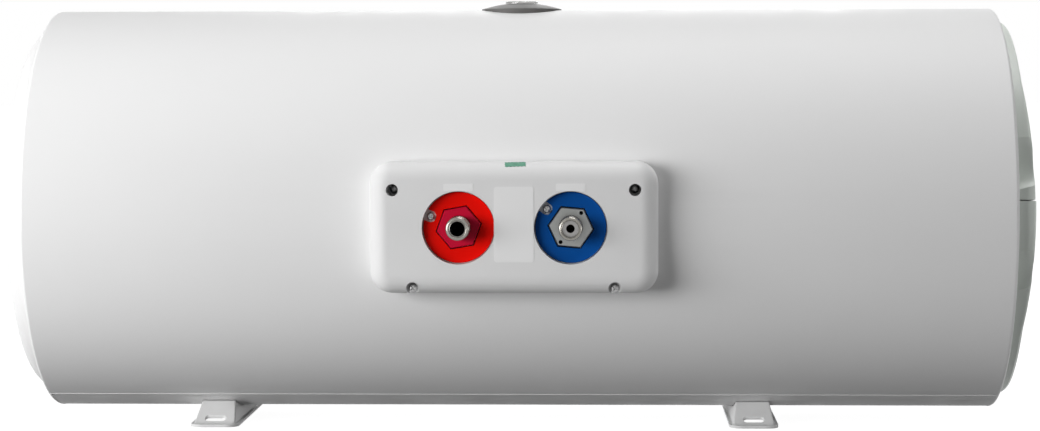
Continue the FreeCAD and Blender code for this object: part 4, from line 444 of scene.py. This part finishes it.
def recess_depth(x, y, reach, depth):
    """Depth of a cross recess at a point of a screw head: tapered arms and a deeper middle."""
    best = 0.0
    for along, across in ((abs(x), abs(y)), (abs(y), abs(x))):
        width = reach * RECESS_ARM * (1.0 - RECESS_ARM_TAPER * along / reach)
        if along < reach and across < width:
            side = (width - across) / (reach * RECESS_SIDE)
            end = (reach - along) / (reach * RECESS_END)
            best = max(best, min(1.0, side, end) * (1.0 - RECESS_RISE * along / reach))
    core = math.hypot(x, y)
    if core < reach * RECESS_CORE:
        best = max(best, min(1.0, (reach * RECESS_CORE - core) / (reach * RECESS_CORE_SIDE)))
    return best * depth


def screw_head(seat, axis, radius, height, turn, shank_radius, shank_length):
    """Pan head with a cross recess, and its shank below."""
    first, second = frame_along(axis)
    axis = axis.normalized()
    segments, rings = TURNED_SEGMENTS, SCREW_RINGS
    edge = height * SCREW_EDGE
    c, s = math.cos(turn), math.sin(turn)
    vertices = []
    for i in range(rings + 1):
        r = radius * (i / rings) ** SCREW_RING_SPACING
        for j in range(segments):
            a = 2.0 * math.pi * j / segments
            x, y = r * math.cos(a), r * math.sin(a)
            dome = height - (height - edge) * (r / radius) ** 4
            pit = recess_depth(x * c + y * s, y * c - x * s, radius * RECESS_REACH, height * RECESS_DEPTH)
            vertices.append(seat + axis * (dome - pit) + first * x + second * y)
    rows = rings + 1
    below = [(edge * 0.5, radius), (0.0, radius * 0.97), (0.0, shank_radius),
             (-shank_length, shank_radius), (-shank_length - shank_radius * 0.4, 0.0)]
    for h, r in below:
        rows += 1
        for j in range(segments):
            a = 2.0 * math.pi * j / segments
            vertices.append(seat + axis * h + (first * math.cos(a) + second * math.sin(a)) * r)
    return vertices, grid_faces(rows, segments)


def screws(name, node, places, axis, sizes, material):
    """All the screws of one CAD node as one piece, each turned its own way."""
    radius, height, shank, length = sizes
    parts = [screw_head(place, axis, radius, height, FIRST_SCREW_TURN + NEXT_SCREW_TURN * i, shank, length)
             for i, place in enumerate(places)]
    add_piece(name, *merge(parts), material, "screw_steel", (node,), crease=40.0)


def surface_of(node):
    """Search tree of a CAD node's surface."""
    return BVHTree.FromObject(frame["nodes"][node], bpy.context.evaluated_depsgraph_get())


def touch(tree, start, direction):
    """Where a line first meets a surface."""
    return tree.ray_cast(Vector(start), Vector(direction))[0]


def front_of(node, point, axis, reach=0.0025):
    """The furthest that a node's mesh comes along an axis, near a point."""
    flat = [Vector(v.co) - Vector(point) for v in frame["nodes"][node].data.vertices]
    near = [v.dot(axis) for v in flat if (v - axis * v.dot(axis)).length < reach]
    return Vector(point) + axis * max(near)


def smooth_min(a, b, k):
    """The lower of two heights, rounded where they meet."""
    h = max(0.0, min(1.0, 0.5 + 0.5 * (b - a) / k))
    return b * (1.0 - h) + a * h - k * h * (1.0 - h)


def smooth_max(a, b, k):
    """The higher of two heights, rounded where they meet."""
    return -smooth_min(-a, -b, k)


def bracket_height(u, v):
    """Height over the wall of a pressed bracket's upper face."""
    seat_r = CASING_R + SADDLE_GAP
    top = AXIS_Z - math.sqrt(seat_r ** 2 - SADDLE_REACH ** 2)
    slope = (top - SHEET) / (RAMP_FOOT - SADDLE_REACH)
    ramp = SHEET + (RAMP_FOOT - abs(v)) * slope
    saddle = AXIS_Z - math.sqrt(seat_r ** 2 - min(abs(v), SADDLE_REACH + SADDLE_PAST) ** 2)
    web = smooth_min(ramp, saddle, CREST_BEND_R)
    side = top - (abs(u) - WEB_HALF) * top / WEB_FLARE
    return smooth_max(smooth_min(web, side, BEND_R), SHEET, FOOT_BEND_R)


def capsule_prism(x, y, half, radius, low, high):
    """Upright prism with a slot's outline."""
    ring = []
    for side in (1.0, -1.0):
        for k in range(SLOT_END_STEPS + 1):
            a = math.radians(-90.0 + 180.0 * k / SLOT_END_STEPS) + (0.0 if side > 0 else math.pi)
            ring.append((x + side * (half - radius) + radius * math.cos(a), y + radius * math.sin(a)))
    count = len(ring)
    vertices = [(px, py, low) for px, py in ring] + [(px, py, high) for px, py in ring]
    faces = grid_faces(2, count) + [tuple(reversed(range(count))), tuple(range(count, 2 * count))]
    return vertices, faces


def baked(piece):
    """Applies a piece's modifiers to its mesh."""
    view = bpy.context.evaluated_depsgraph_get()
    view.update()
    mesh = bpy.data.meshes.new_from_object(piece.evaluated_get(view))
    piece.modifiers.clear()
    piece.data = mesh


def pressed_bracket(name, node, material):
    """Hat-section bracket pressed from sheet, with soft bends and a slot in each ramp."""
    centre = middle(node)
    straight = BRACKET_REACH - BASE_CORNER
    rows = [straight * k / BRACKET_ROWS for k in range(-BRACKET_ROWS, BRACKET_ROWS + 1)]
    corner = [straight + BASE_CORNER * math.sin(math.pi / 2.0 * k / BRACKET_CORNER_ROWS)
              for k in range(1, BRACKET_CORNER_ROWS + 1)]
    rows = [-v for v in reversed(corner)] + rows + corner
    columns = BRACKET_COLUMNS
    vertices = []
    for v in rows:
        past = max(0.0, abs(v) - straight)
        half = BASE_HALF - (BASE_CORNER - math.sqrt(max(0.0, BASE_CORNER ** 2 - past ** 2)))
        for j in range(columns):
            u = half * (2.0 * j / (columns - 1) - 1.0)
            vertices.append((centre.x + u, AXIS_Y + v, bracket_height(u, v)))
    faces = grid_faces(len(rows), columns, wrap=False)
    piece = add_piece(name, vertices, faces, material, "bracket_paint", (node,))
    if piece.data.polygons[0].normal.z < 0.0:
        piece.data.flip_normals()
    solid = piece.modifiers.new("sheet", "SOLIDIFY")
    solid.thickness = SHEET
    solid.offset = -1.0
    baked(piece)
    tools = merge([capsule_prism(centre.x, AXIS_Y + side * SLOT_Y, SLOT_HALF, SLOT_R,
                                 SLOT_TOOL_LOW, SLOT_TOOL_HIGH) for side in (-1.0, 1.0)])
    mesh = bpy.data.meshes.new("slots")
    mesh.from_pydata(tools[0], [], tools[1])
    tool = bpy.data.objects.new("slots", mesh)
    bpy.context.scene.collection.objects.link(tool)
    cut = piece.modifiers.new("cut", "BOOLEAN")
    cut.object = tool
    cut.operation = "DIFFERENCE"
    cut.solver = "EXACT"
    baked(piece)
    bpy.data.objects.remove(tool)
    edge = piece.modifiers.new("edge", "BEVEL")
    edge.width = SHEET_EDGE_R
    edge.segments = 2
    edge.limit_method = "ANGLE"
    edge.angle_limit = math.radians(50.0)
    baked(piece)
    piece.data.shade_smooth()
    piece.data.set_sharp_from_angle(angle=math.radians(60.0))


def sticker(material):
    """Crumpled paper strip over the rounded top edge of the connection cover."""
    across, along = STICKER_COLUMNS, STICKER_ROWS
    centre_x = middle("connection_cover").x + STICKER_FROM_MIDDLE
    centre_y = BOX_FRONT_Y + BOX_EDGE_R
    centre_z = BOX_TOP_Z - BOX_EDGE_R
    vertices = []
    for i in range(along):
        for j in range(across):
            p = (j / (across - 1) - 0.5) * STICKER_SIZE[0]
            q = (i / (along - 1) - 0.5) * STICKER_SIZE[1]
            if j in (0, across - 1):
                p += END_WAVE[0] * math.sin(q * END_WAVE[1])
            if i in (0, along - 1):
                q += SIDE_WAVE[0] * math.sin(p * SIDE_WAVE[1])
            x = p * math.cos(STICKER_TILT) - q * math.sin(STICKER_TILT)
            turn = STICKER_MIDDLE_ANGLE
            turn += (p * math.sin(STICKER_TILT) + q * math.cos(STICKER_TILT)) / BOX_EDGE_R
            lift = BOX_EDGE_R + STICKER_LIFT + CRUMPLE[0] * math.sin(p * CRUMPLE[1] + q * CRUMPLE[2])
            y, z = centre_y - lift * math.cos(turn), centre_z + lift * math.sin(turn)
            vertices.append((centre_x + x, y, z))
    piece = add_piece("green_sticker", vertices, grid_faces(along, across, wrap=False), material,
                      "sticker_green", ("round_sticker",))
    solid = piece.modifiers.new("paper", "SOLIDIFY")
    solid.thickness = STICKER_PAPER
    solid.offset = 0.0
    baked(piece)


def flat_bar(origin, along, across, up, length, width, height):
    """Small raised bar, as of a printed tick."""
    corners = []
    for h in (0.0, height):
        for a, b in ((0, -0.5), (length, -0.5), (length, 0.5), (0, 0.5)):
            corners.append(origin + along * a + across * b * width + up * h)
    return corners, [(0, 3, 2, 1), (4, 5, 6, 7), (0, 1, 5, 4), (1, 2, 6, 5), (2, 3, 7, 6), (3, 0, 4, 7)]


def gauge_scale(material):
    """Ticks and numbers of the thermometer's dial."""
    low, high = (Vector(c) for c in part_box("gauge_dial"))
    centre = Vector(((low.x + high.x) / 2.0, (low.y + high.y) / 2.0, high.z))
    parts = []
    for k in range(DIAL_TICKS + 1):
        a = math.radians(SCALE_START - SCALE_SWEEP * k / DIAL_TICKS)
        out = Vector((math.cos(a), math.sin(a), 0.0))
        side = Vector((-math.sin(a), math.cos(a), 0.0))
        length, width = SHORT_TICK if k % DIAL_TICKS_PER_NUMBER else LONG_TICK
        start = centre + out * (DIAL_SCALE_R - length)
        parts.append(flat_bar(start, out, side, Vector((0.0, 0.0, 1.0)), length, width, PRINT))
    add_piece("gauge_scale", *merge(parts), material, "plastic_black")
    numbers = []
    for k in range(DIAL_TICKS // DIAL_TICKS_PER_NUMBER + 1):
        a = math.radians(SCALE_START - SCALE_SWEEP * DIAL_TICKS_PER_NUMBER * k / DIAL_TICKS)
        place = centre + Vector((math.cos(a), math.sin(a), 0.0)) * DIAL_NUMBER_R
        numbers.append(number_mesh(str(DIAL_DEGREES_PER_NUMBER * k), DIAL_NUMBER_SIZE, place))
    add_piece("gauge_numbers", *merge(numbers), material, "plastic_black")


def number_mesh(text, size, place):
    """A number's outline as a thin raised mesh, facing +Z with its top towards +Y."""
    curve = bpy.data.curves.new("number", "FONT")
    curve.body = text
    curve.size = size
    curve.extrude = PRINT / 2.0
    curve.align_x = "CENTER"
    curve.align_y = "CENTER"
    curve.resolution_u = 4
    holder = bpy.data.objects.new("number", curve)
    mesh = bpy.data.meshes.new_from_object(holder)
    vertices = [Vector(v.co) + place + Vector((0.0, 0.0, PRINT / 2.0)) for v in mesh.vertices]
    faces = [tuple(p.vertices) for p in mesh.polygons]
    bpy.data.objects.remove(holder)
    return vertices, faces


def knob_scale(material):
    """Ticks round the temperature knob, laid on the curved cover."""
    tree = surface_of("right_cover_upper")
    knob = middle("knob")
    parts = []
    for k in range(KNOB_TICKS + 1):
        a = math.radians(SCALE_START - SCALE_SWEEP * k / KNOB_TICKS)
        out = Vector((0.0, math.cos(a), math.sin(a)))
        side = Vector((0.0, -math.sin(a), math.cos(a)))
        length = KNOB_FIRST_TICK + KNOB_TICK_GROWTH * k / KNOB_TICKS
        start = Vector((PAST_COVER_X, knob.y, knob.z)) + out * KNOB_SCALE_R
        near = touch(tree, start, (-1.0, 0.0, 0.0))
        far = touch(tree, start + out * length, (-1.0, 0.0, 0.0))
        if near is None or far is None:
            continue
        along = (far - near).normalized()
        up = along.cross(side).normalized()
        up = up if up.x > 0.0 else -up
        parts.append(flat_bar(near, along, side, up, (far - near).length, KNOB_TICK_WIDTH, PRINT))
    add_piece("knob_scale", *merge(parts), material, "plastic_black")


def knob_mark(material):
    """White line over the raised mark of the temperature knob, which turns with it."""
    knob = middle("knob")
    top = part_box("knob")[1][0]
    vertices, faces = capsule_prism(knob.z + KNOB_MARK_MIDDLE, knob.y, KNOB_MARK_HALF,
                                    KNOB_MARK_HALF_WIDTH, top - KNOB_MARK_DEPTH, top + PRINT)
    turned = [(height, across, along) for along, across, height in vertices]
    add_piece("knob_mark", turned, faces, material, "label_white", body="knob")


def make_pieces(materials):
    """The detailed pieces, most of them in place of the CAD node that they follow; the printed marks are
    added on top.
    """
    out = Vector((0.0, -1.0, 0.0))
    right = Vector((1.0, 0.0, 0.0))
    nickel, steel = materials["nipple_nickel"], materials["screw_steel"]
    threaded_nipple("hot_nipple_thread", "hot_nipple", HOT_BORE, HOT_GROOVE, nickel)
    threaded_nipple("cold_nipple_thread", "cold_nipple", COLD_BORE, COLD_GROOVE, nickel)
    pipes = {name: middle(name + "_nipple") for name in ("hot", "cold")}
    disc_places = []
    for name, angle in DISC_SCREW_ANGLES:
        a = math.radians(angle)
        place = pipes[name] + Vector((math.cos(a), 0.0, math.sin(a))) * DISC_SCREW_AT_R
        disc_places.append(front_of("disc_screws", place, out) - out * DISC_SCREW[1])
    screws("disc_screw_heads", "disc_screws", disc_places, out, DISC_SCREW, steel)
    for level in ("upper", "lower"):
        low, high = (Vector(c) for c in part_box(level + "_cover_screws"))
        z = (low.z + high.z) / 2.0
        reach = BOX_SCREW[0]
        places = [Vector((x, low.y + BOX_SCREW[1], z)) for x in (low.x + reach, high.x - reach)]
        screws(level + "_cover_screw_heads", level + "_cover_screws", places, out, BOX_SCREW, steel)
    low, high = (Vector(c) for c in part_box("right_cover_screws"))
    reach = COVER_SCREW[0]
    places = []
    for y in (low.y + reach, high.y - reach):
        for z in (low.z + reach, high.z - reach):
            front = front_of("right_cover_screws", (0.0, y, z), right)
            places.append(front - right * COVER_SCREW[1])
    screws("right_cover_screw_heads", "right_cover_screws", places, right, COVER_SCREW, steel)
    for side in ("left", "right"):
        pressed_bracket(side + "_bracket_pressed", side + "_bracket", materials["bracket_paint"])
    sticker(materials["sticker_green"])
    gauge_scale(materials["plastic_black"])
    knob_scale(materials["plastic_black"])
    knob_mark(materials["label_white"])


def camera_axes():
    """Right, up and forward of the fitted camera."""
    forward = Vector((-math.sin(CAMERA_YAW) * math.cos(CAMERA_PITCH),
                      math.cos(CAMERA_YAW) * math.cos(CAMERA_PITCH), math.sin(CAMERA_PITCH)))
    level = Vector((math.cos(CAMERA_YAW), math.sin(CAMERA_YAW), 0.0))
    upright = level.cross(forward)
    right = level * math.cos(CAMERA_ROLL) + upright * math.sin(CAMERA_ROLL)
    up = -level * math.sin(CAMERA_ROLL) + upright * math.cos(CAMERA_ROLL)
    return right, up, forward


def make_camera():
    """The camera at the photograph's place and angle."""
    right, up, forward = camera_axes()
    data = bpy.data.cameras.new("camera")
    data.sensor_fit = "HORIZONTAL"
    data.sensor_width = SENSOR_MM
    data.lens = CAMERA_FOCAL_PIXELS / PHOTO_WIDTH_PIXELS * SENSOR_MM
    data.clip_end = 200.0
    camera = bpy.data.objects.new("camera", data)
    turn = Matrix((right, up, -forward)).transposed().to_4x4()
    place = Vector((middle("casing").x, AXIS_Y, AXIS_Z)) + CAMERA_FROM_CASING
    camera.matrix_world = Matrix.Translation(place) @ turn
    bpy.context.scene.collection.objects.link(camera)
    bpy.context.scene.camera = camera


def seen_directly(tree):
    """1 where the camera, a mirror or clear glass looks at the surface, else 0."""
    path = tree.nodes.new("ShaderNodeLightPath")
    total = path.outputs["Is Camera Ray"]
    for name in ("Is Glossy Ray", "Is Transmission Ray"):
        pick = tree.nodes.new("ShaderNodeMath")
        pick.operation = "MAXIMUM"
        tree.links.new(total, pick.inputs[0])
        tree.links.new(path.outputs[name], pick.inputs[1])
        total = pick.outputs["Value"]
    return total


def make_floor():
    """A plain pale floor that is white to the camera and keeps the shadow."""
    mesh = bpy.data.meshes.new("floor")
    corners = [(-FLOOR_HALF, -FLOOR_HALF, 0.0), (FLOOR_HALF, -FLOOR_HALF, 0.0),
               (FLOOR_HALF, FLOOR_HALF, 0.0), (-FLOOR_HALF, FLOOR_HALF, 0.0)]
    mesh.from_pydata(corners, [], [(0, 1, 2, 3)])
    floor = bpy.data.objects.new("floor", mesh)
    bpy.context.scene.collection.objects.link(floor)
    material, tree, shader = node_material("floor_pale", FLOOR_COLOUR, 0.8)
    glow = tree.nodes.new("ShaderNodeMath")
    glow.operation = "MULTIPLY"
    glow.inputs[1].default_value = FLOOR_GLOW
    tree.links.new(seen_directly(tree), glow.inputs[0])
    tree.links.new(glow.outputs["Value"], shader.inputs["Emission Strength"])
    shader.inputs["Emission Color"].default_value = (1.0, 1.0, 1.0, 1.0)
    floor.data.materials.append(material)


def make_world():
    """Even soft light, with a white backdrop behind the object."""
    world = bpy.data.worlds.new("studio")
    world.use_nodes = True
    tree = world.node_tree
    background = tree.nodes["Background"]
    background.inputs["Color"].default_value = (1.0, 1.0, 1.0, 1.0)
    level = tree.nodes.new("ShaderNodeMapRange")
    level.inputs["To Min"].default_value = WORLD_STRENGTH
    level.inputs["To Max"].default_value = 1.0
    tree.links.new(seen_directly(tree), level.inputs["Value"])
    tree.links.new(level.outputs["Result"], background.inputs["Strength"])
    bpy.context.scene.world = world


def area_light(name, place, target, width, height, power):
    """A soft box that faces its target."""
    data = bpy.data.lights.new(name, "AREA")
    data.shape = "RECTANGLE"
    data.size = width
    data.size_y = height
    data.energy = power
    light = bpy.data.objects.new(name, data)
    light.location = place
    light.rotation_euler = (Vector(target) - Vector(place)).to_track_quat("-Z", "Y").to_euler()
    bpy.context.scene.collection.objects.link(light)


def make_lights():
    """A low key from the left in front, light from above, and weak fills from the right and behind."""
    for lamp in LAMPS:
        area_light(*lamp)


def main():
    bpy.context.scene.view_settings.view_transform = "Standard"
    make_camera()
    make_floor()
    make_world()
    make_lights()
    materials = make_materials()
    dress_nodes(materials)
    make_pieces(materials)


main()
